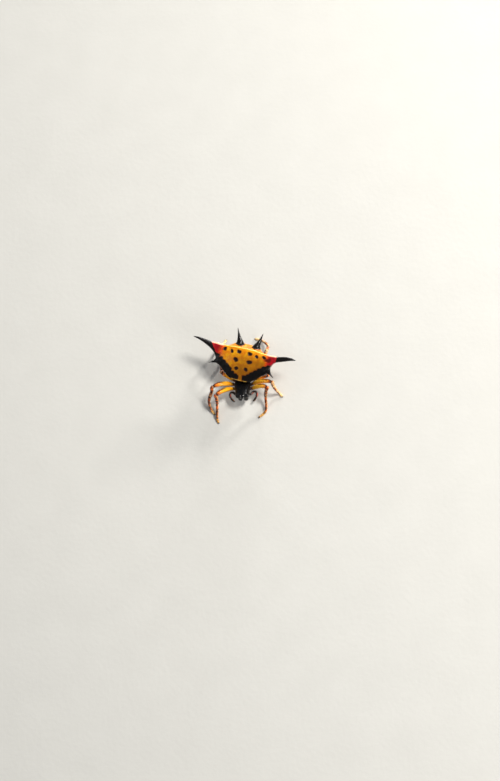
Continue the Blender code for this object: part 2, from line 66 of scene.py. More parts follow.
backward = TOWARDS_CAMERA / np.linalg.norm(TOWARDS_CAMERA)
upward = PICTURE_UP - backward * (PICTURE_UP @ backward)
upward /= np.linalg.norm(upward)
rightward = np.cross(upward, backward)
aim = (
    CARAPACE_CROWN
    + rightward * (PICTURE[0] / 2 - CROWN_PIXEL[0]) / PIXELS_PER_MM
    + upward * (CROWN_PIXEL[1] - PICTURE[1] / 2) / PIXELS_PER_MM
)
camera_place = aim + backward * LENS / SENSOR * PICTURE[1] / PIXELS_PER_MM

lens = bpy.data.cameras.new("photo_view")
lens.lens, lens.sensor_width, lens.sensor_fit = LENS, SENSOR, "AUTO"
lens.clip_start, lens.clip_end = CLIP
camera = added("photo_view", lens)
axes = np.eye(4)
axes[:3] = np.stack((rightward, upward, backward, camera_place * MM), axis=1)
camera.matrix_world = Matrix(axes.tolist())
bpy.context.scene.camera = camera

# Lights. Five soft boxes in an even pale room: the key high on the spider's left, an edge and a back
# light low behind it, a wide fill over its right shoulder, and a low one in front on its left. Each has
# its place and width in metres, its power in watts and its colour.
LIGHTS = {
    "key_light": ((0.19, 0.09, 0.32), 0.09, 1.50, (1.0, 0.97, 0.92)),
    "edge_light": ((0.28, 0.30, 0.11), 0.06, 1.70, (1.0, 0.97, 0.92)),
    "back_light": ((0.09, 0.45, 0.055), 0.10, 1.30, (1.0, 1.0, 1.0)),
    "fill_light": ((-0.26, -0.05, 0.30), 0.24, 0.22, (0.93, 0.96, 1.0)),
    "front_light": ((0.27, -0.24, 0.13), 0.14, 0.60, (1.0, 1.0, 1.0)),
}
ROOM_LIGHT, ROOM_COLOUR = 0.16, (0.92, 0.95, 1.0, 1.0)
LIT_POINT = Vector((0.0, 0.0, 0.003))

for name, (place, width, power, colour) in LIGHTS.items():
    lamp = bpy.data.lights.new(name, "AREA")
    lamp.size, lamp.energy, lamp.color = width, power, colour
    soft_box = added(name, lamp)
    soft_box.location = place
    soft_box.rotation_euler = (LIT_POINT - soft_box.location).to_track_quat("-Z", "Y").to_euler()
room = bpy.data.worlds.new("room")
room.use_nodes = True
background = room.node_tree.nodes["Background"].inputs
background["Color"].default_value, background["Strength"].default_value = ROOM_COLOUR, ROOM_LIGHT
bpy.context.scene.world = room
bpy.context.scene.view_settings.view_transform = "Standard"

# Floor. A wide board painted a pale matt grey, with the faint tooth that a roller leaves in the
# paint. It only carries the spider, and isn't part of it.
FLOOR_RADIUS, FLOOR_SIDES = 0.9, 128
FLOOR_PALE, FLOOR_SHADE = "C8C7C2", "C1C0BB"


class Wire:
    """One socket of a node tree. Arithmetic on wires adds Math nodes to that tree."""

    def __init__(self, tree, socket=None):
        self.tree, self.socket = tree, socket

    def node(self, kind, settings=(), sockets=(), out=0):
        """Adds a node, sets its settings, then its sockets' values or links, and gives an output."""
        made = self.tree.nodes.new(kind)
        for name, value in dict(settings).items():
            if name == "stops":
                ramp = made.color_ramp.elements
                while len(ramp) < len(value):
                    ramp.new(1.0)
                for element, (position, code) in zip(ramp, value):
                    element.position, element.color = position, paint(code)
            else:
                setattr(made, name, value)
        for name, value in dict(sockets).items():
            if isinstance(value, Wire):
                self.tree.links.new(value.socket, made.inputs[name])
            else:
                made.inputs[name].default_value = value
        return Wire(self.tree, made.outputs[out] if made.outputs else None)

    def maths(self, operation, *values):
        return self.node("ShaderNodeMath", {"operation": operation}, enumerate(values))

    def __add__(self, other):
        return self.maths("ADD", self, other)

    def __sub__(self, other):
        return self.maths("SUBTRACT", self, other)

    def __rsub__(self, other):
        return self.maths("SUBTRACT", other, self)

    def __mul__(self, other):
        return self.maths("MULTIPLY", self, other)

    __radd__, __rmul__ = __add__, __mul__

    def step(self, low, high):
        """0 at low to 1 at high, eased at both ends. low may be the larger."""
        return self.node(
            "ShaderNodeMapRange",
            {"interpolation_type": "SMOOTHSTEP"},
            {"Value": self, "From Min": low, "From Max": high},
        )

    def blend(self, a, b, share):
        """One colour at share 0 and another at 1, each a wire or the code of a paint."""
        a, b = (paint(colour) if isinstance(colour, str) else colour for colour in (a, b))
        return self.node("ShaderNodeMix", {"data_type": "RGBA"}, {0: share, 6: a, 7: b}, out=2)

    def field(self, name):
        """A number that the mesh carries at each of its points."""
        return self.node("ShaderNodeAttribute", {"attribute_name": name}, out="Fac")

    def in_mm(self):
        """The place on the piece, in millimetres."""
        place = self.node("ShaderNodeTexCoord", out="Object")
        return self.node("ShaderNodeVectorMath", {"operation": "SCALE"}, {0: place, "Scale": 1 / MM})

    def noise(self, size, detail=2.0, warp=0.0):
        """Cloudy noise about 0.5, with lumps of a size in millimetres."""
        return self.node(
            "ShaderNodeTexNoise",
            sockets={"Vector": self.in_mm(), "Scale": 1 / size, "Detail": detail, "Distortion": warp},
        )

    def pits(self, size):
        """The distance from the nearest of scattered points, about a size in millimetres apart."""
        return self.node(
            "ShaderNodeTexVoronoi",
            {"feature": "SMOOTH_F1"},
            {"Vector": self.in_mm(), "Scale": 1 / size, "Smoothness": 0.4},
        )

    def raised(self, height):
        """The surface's normal, with a height in millimetres worked into it."""
        return self.node("ShaderNodeBump", sockets={"Strength": 1.0, "Distance": MM, "Height": height})


def paint(code):
    """A colour in linear light, from the six hex digits that a screen shows it by."""
    parts = (int(code[i : i + 2], 16) / 255 for i in (0, 2, 4))
    return (*(((p + 0.055) / 1.055) ** 2.4 if p > 0.04045 else p / 12.92 for p in parts), 1.0)


def finish(name):
    """A new empty material, and a wire to build it with."""
    made = bpy.data.materials.new(name)
    made.use_nodes = True
    made.node_tree.nodes.clear()
    return made, Wire(made.node_tree)


def surface(wire, **sockets):
    """Ends a material in its shader. A socket's name has _ for a space."""
    named = {name.replace("_", " "): value for name, value in sockets.items()}
    shader = wire.node("ShaderNodeBsdfPrincipled", sockets=named)
    wire.node("ShaderNodeOutputMaterial", sockets={"Surface": shader})


floor_paint, wire = finish("floor_paint")
surface(
    wire,
    Base_Color=wire.blend(FLOOR_PALE, FLOOR_SHADE, wire.noise(6.0, 3.0)),
    Roughness=0.7 + 0.1 * wire.noise(2.0),
    Normal=wire.raised(0.02 * wire.noise(0.8, 3.0)),
)
board = bmesh.new()
bmesh.ops.create_circle(board, cap_ends=True, segments=FLOOR_SIDES, radius=FLOOR_RADIUS)
floor_mesh = bpy.data.meshes.new("floor")
board.to_mesh(floor_mesh)
board.free()
floor_mesh.materials.append(floor_paint)
floor = added("floor", floor_mesh)

# Abdomen. A broad hard shield of one thick glossy shell, drawn out at each side into a long curved
# spine, with a thorn behind each shoulder, two thorns on its steep rear slope, a belly cone below
# and sunken black spots where muscles hold the shell from inside. It hangs on the waist stalk.
CARAPACE_AT = (-0.772, -2.752)
WAIST_AT = (-0.25, 2.10)
ABDOMEN_YAW, ABDOMEN_ROLL = math.radians(15.6), math.radians(2.5)
PLATE_HEIGHT, PLATE_MIDDLE, PLATE_RISE = 5.0, 2.45, 0.37
SPINE_TIP_X = 8.84
SPINE_STRETCH = (1.10, 0.98)
SPINE_FROM, SPINE_WHOLE = 4.7, 5.8
DOME_RISE, NOSE_DROP = 0.22, 0.30
BELLY_DEPTH, BELLY_END = 2.1, 1.72
BELLY_AT, BELLY_HALF = (0.0, 3.2), (1.25, 1.40)
SLICES, SIDES, FINE_SIDES, SLICE_EASING = 430, 190, 900, 26
# How far the slices crowd towards the middle, and the points of a slice towards its upper side
CROWDING, UNDER_SPACING = 0.25, 0.7
# How square the shield is in section, how round a spine is, and how softly the crest turns over
PLATE_POWER, SPINE_POWER, CREST_EDGE = 3.4, 2.0, 0.11
REAR_LIFT, REAR_STEEPNESS, CONE_POWER, LEAST_LIP = 0.10, 1.05, 2.2, 0.12


def mix(a, b, share):
    return a + (b - a) * share


def smoothstep(low, high, value):
    t = np.clip((value - low) / (high - low), 0.0, 1.0)
    return t * t * (3.0 - 2.0 * t)


def hump(value, width):
    return np.exp(-((value / width) ** 2))


def unit(vectors):
    return vectors / np.linalg.norm(vectors, axis=-1, keepdims=True)


def eased(line, times):
    """Points or rings smoothed that many times along their line, with both ends held."""
    for _ in range(times):
        line[1:-1] = (line[:-2] + 2 * line[1:-1] + line[2:]) / 4
    return line


def sweep(a, b, leaving, arriving, t):
    """The smooth way from a to b at a share t, with the slopes that it leaves and arrives by."""
    return (
        a * (1 + 2 * t) * (1 - t) ** 2 + leaving * t * (1 - t) ** 2
        + b * t * t * (3 - 2 * t) + arriving * t * t * (t - 1)
    )


def through(*stations):
    """A smooth function through (position, size) stations, flat past the first and the last."""
    at, size = np.array(stations, float).T
    slope = np.gradient(size, at)

    def value(position):
        p = np.clip(position, at[0], at[-1])
        i = np.clip(np.searchsorted(at, p, side="right") - 1, 0, len(at) - 2)
        span, rise = at[i + 1] - at[i], size[i + 1] - size[i]
        t, limit = (p - at[i]) / span, 3 * np.abs(rise) / span
        start, end = (
            np.where(rise * s > 0, np.clip(s, -limit, limit), 0) for s in (slope[i], slope[i + 1])
        )
        return sweep(size[i], size[i + 1], start * span, end * span, t)

    return value


front_edge = through(
    (0, -0.70), (1.0, -0.69), (1.5, -0.60), (2.0, -0.36), (2.5, -0.03), (3.0, 0.38), (3.5, 0.82),
    (4.0, 1.14), (4.4, 1.42), (4.62, 1.74), (4.8, 2.30), (5.1, 2.76), (5.5, 3.12), (6.0, 3.46),
    (7.0, 3.97), (8.0, 4.34), (8.84, 4.56),
)
crest_edge = through(
    (0, 4.55), (2.0, 4.48), (3.0, 4.42), (4.0, 4.44), (5.0, 4.50), (6.0, 4.66), (7.0, 4.84),
    (8.0, 4.86), (8.84, 4.66),
)
rear_reach = through((0, 1.25), (1.5, 1.22), (2.2, 0.92), (2.8, 0.42), (3.3, 0.10), (4.0, 0.0))
rear_drop = through((0, 1.75), (1.5, 1.70), (2.5, 1.20), (3.3, 0.80), (4.0, 0.62), (5.0, 0.55))
shield_depth = through(
    (0, 1.85), (1.5, 1.60), (2.5, 1.38), (3.5, 1.25), (4.5, 1.14), (5.5, 1.04), (6.0, 0.92),
    (7.0, 0.66), (8.0, 0.36), (8.84, 0.05),
)
front_hollow = through((-0.9, 3.42), (0.0, 3.16), (0.45, 2.95), (0.8, 2.45), (1.3, 1.6), (1.9, 0.9))
spine_height = through((4.5, 4.85), (5.5, 5.02), (6.0, 5.12), (7.0, 5.35), (8.0, 5.48), (8.84, 5.46))
# How much further back the left spine's front edge starts, and how much slimmer the right spine is
front_trim = through((4.1, 0.0), (4.7, 0.40), (5.1, 0.50), (5.6, 0.38), (6.4, 0.15), (7.2, 0.0))
crest_trim = through((5.0, 0.0), (5.8, -0.08), (6.8, -0.16), (8.0, -0.10), (8.84, 0.0))


def shield_edges(across):
    """The front edge and the crest of the shield, at a distance to the left of its middle."""
    s = np.abs(across)
    return (
        front_edge(s) + np.where(across > 0, front_trim(s), 0),
        crest_edge(s) + np.where(across < 0, crest_trim(s), 0),
    )


def placed_behind(points):
    """Points of the abdomen, measured from the waist along its own axis, in the model's frame."""
    x, y, z = np.moveaxis(np.asarray(points, float), -1, 0)
    across = x * math.cos(ABDOMEN_ROLL) + (z - PLATE_HEIGHT) * math.sin(ABDOMEN_ROLL)
    return np.stack(
        (
            CARAPACE_AT[0] + WAIST_AT[0] + across * math.cos(ABDOMEN_YAW) + y * math.sin(ABDOMEN_YAW),
            CARAPACE_AT[1] + WAIST_AT[1] - across * math.sin(ABDOMEN_YAW) + y * math.cos(ABDOMEN_YAW),
            z - x * math.sin(ABDOMEN_ROLL),
        ),
        axis=-1,
    )


def plate_height(y):
    return PLATE_HEIGHT + PLATE_RISE * (y - PLATE_MIDDLE)


def abdomen_slices():
    """The shield's even slices: how far across each is, and its rings of (x, y, z, turn)."""
    even = np.linspace(-1, 1, SLICES)
    last = SPINE_TIP_X - 0.01
    across = np.clip(SPINE_TIP_X * ((1 - CROWDING) * even + CROWDING * even**3), -last, last)
    s = np.abs(across)[:, None]
    stretch = np.where(across > 0, SPINE_STRETCH[1], SPINE_STRETCH[0])[:, None]
    x = np.sign(across)[:, None] * (np.minimum(s, SPINE_FROM) + np.maximum(s - SPINE_FROM, 0) * stretch)
    turn = np.linspace(0, 2 * math.pi, FINE_SIDES, endpoint=False)[None]
    spine = smoothstep(SPINE_FROM, SPINE_WHOLE, s)
    front, crest = shield_edges(across[:, None])
    depth, middle = shield_depth(s), spine_height(s)
    nose = mix(plate_height(front) - NOSE_DROP, middle, spine)
    tail = mix(plate_height(crest) - rear_drop(s), middle, spine)
    power = mix(PLATE_POWER, SPINE_POWER, spine)
    share = 0.5 - 0.5 * np.cos(turn)
    y, level = mix(front, crest + rear_reach(s), share), mix(nose, tail, share)
    rounding = (1 - np.abs(2 * share - 1) ** power) ** (1 / power)
    arch = np.sin(math.pi * np.clip((y - front) / (crest - front), 0, 1))
    plate = plate_height(y) + DOME_RISE * (1 - smoothstep(1.0, 5.0, s)) * arch
    slope = plate_height(crest) + REAR_LIFT - REAR_STEEPNESS * (y - crest)
    roof = -CREST_EDGE * np.log(np.exp(-plate / CREST_EDGE) + np.exp(-slope / CREST_EDGE))
    upper = mix(roof, middle + depth / 2, spine)
    off_cone = np.abs(x / BELLY_HALF[0]), np.abs((y - BELLY_AT[1]) / BELLY_HALF[1])
    cone = np.exp(-(off_cone[0] ** CONE_POWER + off_cone[1] ** CONE_POWER))
    under = plate_height(np.minimum(y, crest)) - depth - BELLY_DEPTH * cone
    under = np.maximum(np.maximum(under, front_hollow(y)), BELLY_END)
    lower = mix(np.minimum(under, level - LEAST_LIP), middle - depth / 2, spine)
    z = mix(level, np.where(np.sin(turn) >= 0, upper, lower), rounding)
    rings = np.stack(np.broadcast_arrays(x, y, z, turn), axis=-1)
    return across, np.array([evened(ring) for ring in eased(rings, SLICE_EASING)])


def evened(ring):
    """The ring with its points evenly apart, a little closer on the upper side."""
    closed = np.vstack((ring, ring[:1]))
    closed[-1, 3] = 2 * math.pi
    step = np.linalg.norm(np.diff(closed[:, :3], axis=0), axis=1)
    step *= np.where(ring[:, 3] < math.pi, 1.0, UNDER_SPACING)
    along = np.concatenate(([0.0], np.cumsum(step)))
    wanted = np.linspace(0, along[-1], SIDES, endpoint=False)
    return np.stack([np.interp(wanted, along, closed[:, k]) for k in range(4)], axis=-1)


def ripple(points, size, seed, waves=10):
    """Smooth random swells, about -1 to 1, from plane waves of a size in seeded directions."""
    draw = np.random.default_rng(seed)
    total = 0.0
    for _ in range(waves):
        heading = draw.normal(size=3)
        heading *= 2 * math.pi / size / np.linalg.norm(heading) * draw.uniform(0.7, 1.4)
        total = total + np.sin(points @ heading + draw.uniform(0, 2 * math.pi))
    return total / math.sqrt(waves)


def outward(rings):
    """The unit normal at each point of a tube of rings, away from each ring's middle."""
    along = np.gradient(rings, axis=0)
    around = np.roll(rings, -1, axis=1) - np.roll(rings, 1, axis=1)
    normal = np.cross(along, around)
    normal /= np.linalg.norm(normal, axis=-1, keepdims=True) + 1e-12
    side = np.sum(normal * (rings - rings.mean(axis=1, keepdims=True)), axis=-1).mean()
    return normal * np.sign(side)


def raised_by(rings, height):
    """Rings moved out along their normals by a height at each point."""
    return rings + outward(rings) * height[..., None]


# Spots: across, behind the waist, half width, half length, and turn in degrees
SPOTS = (
    (-3.42, 3.78, 0.30, 0.27, 20), (-2.17, 3.66, 0.24, 0.27, 35), (-1.07, 3.86, 0.25, 0.27, 15),
    (-0.80, 3.80, 0.24, 0.28, -25), (0.93, 3.82, 0.37, 0.28, -8), (2.17, 3.66, 0.27, 0.24, -30),
    (3.42, 3.78, 0.30, 0.23, -18), (-1.19, 2.42, 0.38, 0.31, -12), (1.19, 2.52, 0.43, 0.31, 8),
    (-0.80, 1.12, 0.33, 0.25, 22), (0.83, 1.24, 0.34, 0.25, -25),
)
BAND_SPOTS = (
    (0.75, -0.05, 0.42), (1.35, 0.25, 0.44), (1.95, 0.72, 0.46), (2.52, 1.16, 0.48),
    (3.12, 1.60, 0.48), (3.80, 2.02, 0.50), (4.45, 2.38, 0.46),
)
# The black band's rear edge on the right and the left, and where the spines turn black
BAND = (
    (0, 0.20), (0.83, 0.18), (1.24, 0.36), (1.55, 0.62), (2.2, 1.08), (2.8, 1.6), (3.4, 2.12), (4.2, 2.42),
)
right_band = through(
    *BAND, (4.7, 2.78), (5.1, 3.25), (5.4, 3.7), (5.65, 4.1), (5.85, 4.4), (6.05, 4.8), (6.3, 6.0)
)
left_band = through(*BAND, (4.6, 2.64), (4.9, 2.9), (5.1, 3.0), (5.5, 3.2), (5.6, 4.4), (5.75, 6.0))
BLACK_FROM = (6.12, 5.66)
# How soon the black of the spots, the band and its scallops fades, and how far they melt together
SPOT_FADE, BAND_FADE, SCALLOP_FADE, MELT = 0.28, 0.75, 0.32, 0.045
# The golden gap in the band's middle, the golden lip along its front, and a thorn's black foot
BAND_GAP_AT, BAND_GAP_HALF, BAND_GAP_END = 0.13, 0.28, 0.5
LIP_AT, LIP_HALF, LIP_ACROSS, THORN_FOOT = 0.12, 0.05, 1.75, 0.07
# Relief of the shell: the height of each bead, swell and wrinkle, and the depth of each dent
SPOT_DEPTH, SPOT_RIM, BAND_DIP, BAND_RIM, CREASE_DEPTH = 0.055, 0.012, 0.016, 0.004, 0.040
CREST_BEAD, FRONT_BEAD, SWELL, WRINKLE, SPINE_RING = 0.050, 0.022, 0.009, 0.035, 0.0035
WRINKLES_APART, SPINE_RINGS_APART = 0.28, 0.19
# How high the shell flares at the foot of each pair of thorns, and how far out
FRONT_FLARE, REAR_FLARE = (0.06, 0.12), (0.16, 0.13)
# Creases across the rear slope: how far behind the crest, how strong, and half width
CREASES = ((0.25, 1.0, 0.040), (0.56, 0.8, 0.050), (0.98, 0.6, 0.06))


def in_spot(x, y, spot):
    """0 at a spot's middle and 1 at its rim."""
    turn = math.radians(spot[4])
    dx, dy = x - spot[0], y - spot[1]
    u, v = dx * math.cos(turn) + dy * math.sin(turn), dy * math.cos(turn) - dx * math.sin(turn)
    return np.sqrt((u / spot[2]) ** 2 + (v / spot[3]) ** 2)


# Thorns: the sunk root and the tip of each, from the waist
FRONT_THORNS = (((-3.95, 2.00, 4.24), (-5.72, 1.00, 4.42)), ((4.05, 2.28, 4.30), (5.70, 1.00, 4.42)))
REAR_THORNS = (((-1.12, 5.02, 4.70), (-2.36, 7.92, 5.10)), ((1.50, 5.02, 4.70), (2.12, 7.92, 5.10)))
FRONT_RADII = (0.62, 0.62, 0.52, 0.34, 0.20, 0.12, 0.07, 0.03)
REAR_RADII = (0.58, 0.64, 0.61, 0.47, 0.36, 0.27, 0.20, 0.14, 0.09, 0.03)
REAR_SAG, THORN_STEPS, THORN_SIDES = 0.10, 70, 30


def thorn_lines():
    """The middle line and the radius along it of each thorn, in the abdomen's own measures."""
    for ends, radii, sag in ((FRONT_THORNS, FRONT_RADII, 0.0), (REAR_THORNS, REAR_RADII, REAR_SAG)):
        t = np.linspace(0, 1 + 0.2 / (len(radii) - 1), THORN_STEPS)
        size = through(*zip(np.linspace(0, 1, len(radii)), radii), (t[-1], 0.012))(t)
        for root, tip in ends:
            line = mix(np.array(root), np.array(tip), t[:, None])
            line[:, 2] -= sag * np.sin(math.pi * t)
            yield line, size


def from_thorns(points):
    """How far points are outside the nearest front thorn and the nearest rear thorn."""
    nearest = np.full((2, *points.shape[:-1]), 9.0)
    for order, (line, size) in enumerate(thorn_lines()):
        for centre, radius in zip(line[::2], size[::2]):
            far = np.linalg.norm(points - centre, axis=-1) - radius
            nearest[order // 2] = np.minimum(nearest[order // 2], far)
    return nearest


def abdomen_fields(across, rings):
    """What the shell's relief and colours go by, as numbers at each point."""
    x = across[:, None] + 0 * rings[..., 1]
    s, y, turn = np.abs(x), rings[..., 1], rings[..., 3]
    above = smoothstep(-0.02, 0.06, np.sin(turn))
    plane = np.stack((x, y, 0 * y), axis=-1)
    wobble = 0.035 * ripple(plane, 0.65, 3) + 0.012 * ripple(plane, 0.2, 4)
    spot = np.min([in_spot(x, y, one) for one in SPOTS], axis=0)
    band_spots = np.array([in_spot(s, y, (*one, one[2] * 0.86, 38)) for one in BAND_SPOTS])
    band_spot = band_spots.min(axis=0)
    front, crest = shield_edges(x)
    near_front, near_rear = from_thorns(rings[..., :3])
    band = np.where(x > 0, left_band(s), right_band(s))
    scallops = np.exp((1 - band_spots) * SCALLOP_FADE / MELT).sum(axis=0)
    ink = MELT * np.log(np.exp((band - y) * BAND_FADE / MELT) + scallops)
    ink = np.maximum((1 - spot) * SPOT_FADE, ink - 0.03)
    gap_half = BAND_GAP_HALF + 0.13 * smoothstep(0.1, -0.6, y)
    ink = np.minimum(ink, np.maximum(np.abs(x - BAND_GAP_AT) - gap_half, y - BAND_GAP_END))
    tips = 0.35 * (s - np.where(x > 0, BLACK_FROM[1], BLACK_FROM[0]))
    tips = tips + 0.03 * ripple(rings[..., :3], 0.55, 14)
    ink = np.maximum(ink, tips)
    ink = np.maximum(ink, THORN_FOOT - np.minimum(near_front, near_rear)) + wobble
    lip = np.abs(y - front - LIP_AT) - LIP_HALF * smoothstep(LIP_ACROSS, 1.1, s)
    ink = np.where(s < LIP_ACROSS, np.minimum(ink, 4 * lip), ink)
    behind = y - crest
    # The pale line along the crest is a painted highlight over a real bead; the front lip carries the same
    # pale line.
    crest_rim = hump(behind + 0.02, 0.10) * smoothstep(6.0, 5.0, s)
    lip_rim = 0.9 * hump(y - front - LIP_AT, 0.07) * smoothstep(1.6, 1.4, s)
    fields = {
        "ink": np.maximum(tips, mix(-0.3, ink, np.maximum(above, smoothstep(3.6, 4.2, s)))),
        "spot": np.clip(1.3 - spot, 0, 1) * above,
        "blush": smoothstep(3.1, 5.3, s + 0.08 * (y - 3.4) + 0.15 * ripple(plane, 1.1, 5)),
        "rim": above * np.maximum(crest_rim, lip_rim),
        # painted highlight: a pink-white band just behind the crest over the crimson sides
        "glow": above * hump(behind + 0.10, 0.15) * smoothstep(3.2, 4.4, s) * smoothstep(6.4, 5.6, s),
        "slope": smoothstep(0.02, 0.2, behind) * smoothstep(4.6, 3.4, s) * above,
        "under": 1 - above,
        # painted shade: the gold darkens towards the front and the right, where the shield turns from the
        # light
        "dusk": above * (
            smoothstep(0.2, 2.1, crest - y) * (0.35 + 0.9 * smoothstep(-3.6, 0.5, x))
            + 0.55 * smoothstep(2.2, 3.8, crest - y) + 0.35 * smoothstep(1.4, 3.2, x)
        ),
        "bruise": 1.4 * hump(x - 4.15, 0.55) * hump(y - 3.5 - 0.1 * ripple(plane, 0.7, 13), 0.40) * above,
    }
    drift = 0.05 * ripple(plane, 1.3, 6)
    crease = sum(deep * hump(behind - at - drift, wide) for at, deep, wide in CREASES)
    fields["crease"] = np.clip(crease * (0.75 + 0.35 * ripple(plane, 0.6, 10)), 0, 1) * fields["slope"]
    band_pit = np.clip(1 - band_spot, 0, 1)
    belly = np.hypot((x - BELLY_AT[0]) / BELLY_HALF[0], (y - BELLY_AT[1]) / BELLY_HALF[1])
    band_dips = BAND_RIM * hump(band_spot - 1.1, 0.14) - BAND_DIP * smoothstep(0, 0.5, band_pit)
    wrinkles = np.sin(2 * math.pi * belly / WRINKLES_APART + ripple(plane, 1.3, 8))
    wavy = 2.5 * ripple(rings[..., :3], 0.8, 9)
    spine_rings = np.sin(2 * math.pi * s / SPINE_RINGS_APART + wavy)
    relief = (
        above * (SPOT_RIM * hump(spot - 1.15, 0.16) - SPOT_DEPTH * smoothstep(1.05, 0.6, spot))
        + above * smoothstep(5.4, 4.6, s) * band_dips
        + CREST_BEAD * fields["rim"]
        - CREASE_DEPTH * fields["crease"]
        + FRONT_BEAD * hump(y - front - 0.14, 0.12) * above * smoothstep(4.8, 4.2, s)
        + SWELL * ripple(plane, 0.9, 7) * smoothstep(8.0, 5.5, s)
        + WRINKLE * fields["under"] * wrinkles * smoothstep(5.0, 3.5, s)
        + SPINE_RING * spine_rings * smoothstep(5.2, 6.4, s) * smoothstep(8.6, 7.6, s)
        + FRONT_FLARE[0] * np.exp(-np.maximum(near_front, 0) / FRONT_FLARE[1])
        + REAR_FLARE[0] * np.exp(-np.maximum(near_rear, 0) / REAR_FLARE[1])
    )
    outer = unit(np.gradient(rings[..., :3], axis=0)) * np.sign(across)[:, None, None]
    hairy = np.maximum(smoothstep(5.8, 6.6, s), 0.4 * fields["under"] * smoothstep(5.0, 4.0, s))
    return fields | {"lie": outer, "hairy": hairy}, relief


def frames_along(path, easing=0):
    """A unit direction and two unit normals at each point of a path, turned as little as possible."""
    ahead = unit(eased(np.gradient(path, axis=0), easing))
    start = np.array((0.0, 0.0, 1.0)) if abs(ahead[0][2]) < 0.9 else np.array((0.0, 1.0, 0.0))
    up = start - ahead[0] * (start @ ahead[0])
    ups = []
    for direction in ahead:
        up = up - direction * (up @ direction)
        up /= np.linalg.norm(up)
        ups.append(up)
    ups = np.array(ups)
    return ahead, ups, np.cross(ahead, ups)


def tube(path, radii, sides, easing=0):
    """Round rings about a path, their directions eased that many times round its bends."""
    _, up, side = frames_along(path, easing)
    turn = np.linspace(0, 2 * math.pi, sides, endpoint=False)[None, :, None]
    spread = np.cos(turn) * up[:, None] + np.sin(turn) * side[:, None]
    return path[:, None] + np.asarray(radii)[:, None, None] * spread


def strip_faces(count, sides):
    """A closed tube's quads, then its two end fans, each with its corners' places in a unit square."""
    i, j = (a.ravel() for a in np.meshgrid(np.arange(count - 1), np.arange(sides), indexing="ij"))
    k = (j + 1) % sides
    du, dv = 1 / (count + 1), 1 / sides
    u, v = (i + 1) * du, j * dv
    quads = np.stack((i * sides + j, i * sides + k, (i + 1) * sides + k, (i + 1) * sides + j), axis=1)
    yield quads, np.stack((u, v, u, v + dv, u + du, v + dv, u + du, v), axis=1).reshape(-1, 4, 2)
    j = np.arange(sides)
    k, v, flat = (j + 1) % sides, j * dv, 0 * j
    for ring, tip, u, u_tip, a, b, v_a, v_b in (
        (0, count * sides, du, 0, k, j, v + dv, v),
        ((count - 1) * sides, count * sides + 1, 1 - du, 1, j, k, v, v + dv),
    ):
        corners = np.stack((flat + u, v_a, flat + u, v_b, flat + u_tip, v), axis=1)
        yield np.stack((ring + a, ring + b, flat + tip), axis=1), corners.reshape(-1, 3, 2)


# The margin round the unwrap, and the one on each side of a tube's strip, as a share of its height
UNWRAP_MARGIN, STRIP_MARGIN = 0.01, 0.05


def join_tubes(name, tubes, coat=None):
    """One object of closed tubes, each with its own strip of the unwrap. A tube has rings in
    millimetres, its last tip, if any, and fields of numbers at its points."""
    points, faces, corners, fields = [], [], [], {}
    strip_size = 1 - 2 * UNWRAP_MARGIN, (1 - 2 * STRIP_MARGIN) / len(tubes)
    for order, part in enumerate(tubes):
        rings = np.asarray(part["rings"])
        count, sides = rings.shape[:2]
        base = sum(len(p) for p in points)
        tips = rings[0].mean(axis=0), part.get("last", rings[-1].mean(axis=0))
        points.append(np.vstack((rings.reshape(-1, 3), tips)))
        pieces = list(strip_faces(count, sides))
        solid = points[-1]
        fan = np.vstack((pieces[0][0][:, :3], pieces[0][0][:, (0, 2, 3)], pieces[1][0], pieces[2][0]))
        volume = np.einsum("ij,ij->i", solid[fan[:, 0]], np.cross(solid[fan[:, 1]], solid[fan[:, 2]])).sum()
        way = 1 if volume >= 0 else -1
        for faces_here, corners_here in pieces:
            faces.extend((faces_here[:, ::way] + base).tolist())
            strip = corners_here[:, ::way] * strip_size
            strip += UNWRAP_MARGIN, (order + STRIP_MARGIN) / len(tubes)
            corners.append(strip.reshape(-1, 2))
        for key, values in part.get("fields", {}).items():
            values = np.broadcast_to(values, (count, sides, *np.shape(values)[2:]))
            flat = values.reshape(count * sides, *values.shape[2:])
            ends = [values[0].mean(axis=0)], [values[-1].mean(axis=0)]
            fields.setdefault(key, []).append(np.concatenate((flat, *ends)))
    mesh = bpy.data.meshes.new(name)
    mesh.from_pydata((np.vstack(points) * MM).tolist(), [], faces)
    unwrap = mesh.uv_layers.new(name="unwrap")
    unwrap.data.foreach_set("uv", np.vstack(corners).astype(np.float32).ravel())
    for key, values in fields.items():
        values = np.concatenate(values)
        kind, holder = ("FLOAT", "value") if values.ndim == 1 else ("FLOAT_VECTOR", "vector")
        column = mesh.attributes.new(key, kind, "POINT")
        column.data.foreach_set(holder, values.astype(np.float32).ravel())
    mesh.shade_smooth()
    if coat:
        mesh.materials.append(coat)
    return added(name, mesh)


def dress(piece, slot_name, *nodes):
    """Lets a piece ride on the body and stand for the nodes named. Its slot_name is not used."""
    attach(piece, "root")
    if nodes:
        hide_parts(*nodes)


def thorn(line, size, shield_fields):
    """A hollow-sided black thorn, faintly ringed, from its sunk root to its fine tip."""
    rings = tube(placed_behind(line), size, THORN_SIDES)
    lumps = 0.004 * ripple(rings, 0.5, 11) + 0.003 * ripple(rings, 0.18, 12)
    rings = raised_by(rings, lumps * np.clip(size / 0.3, 0, 1)[:, None])
    black = np.full(rings.shape[:2], 1.0)
    fields = dict.fromkeys(shield_fields, 0 * black)
    fields |= {"ink": black, "hairy": black, "lie": unit(np.gradient(rings, axis=0))}
    return {"rings": rings, "fields": fields}
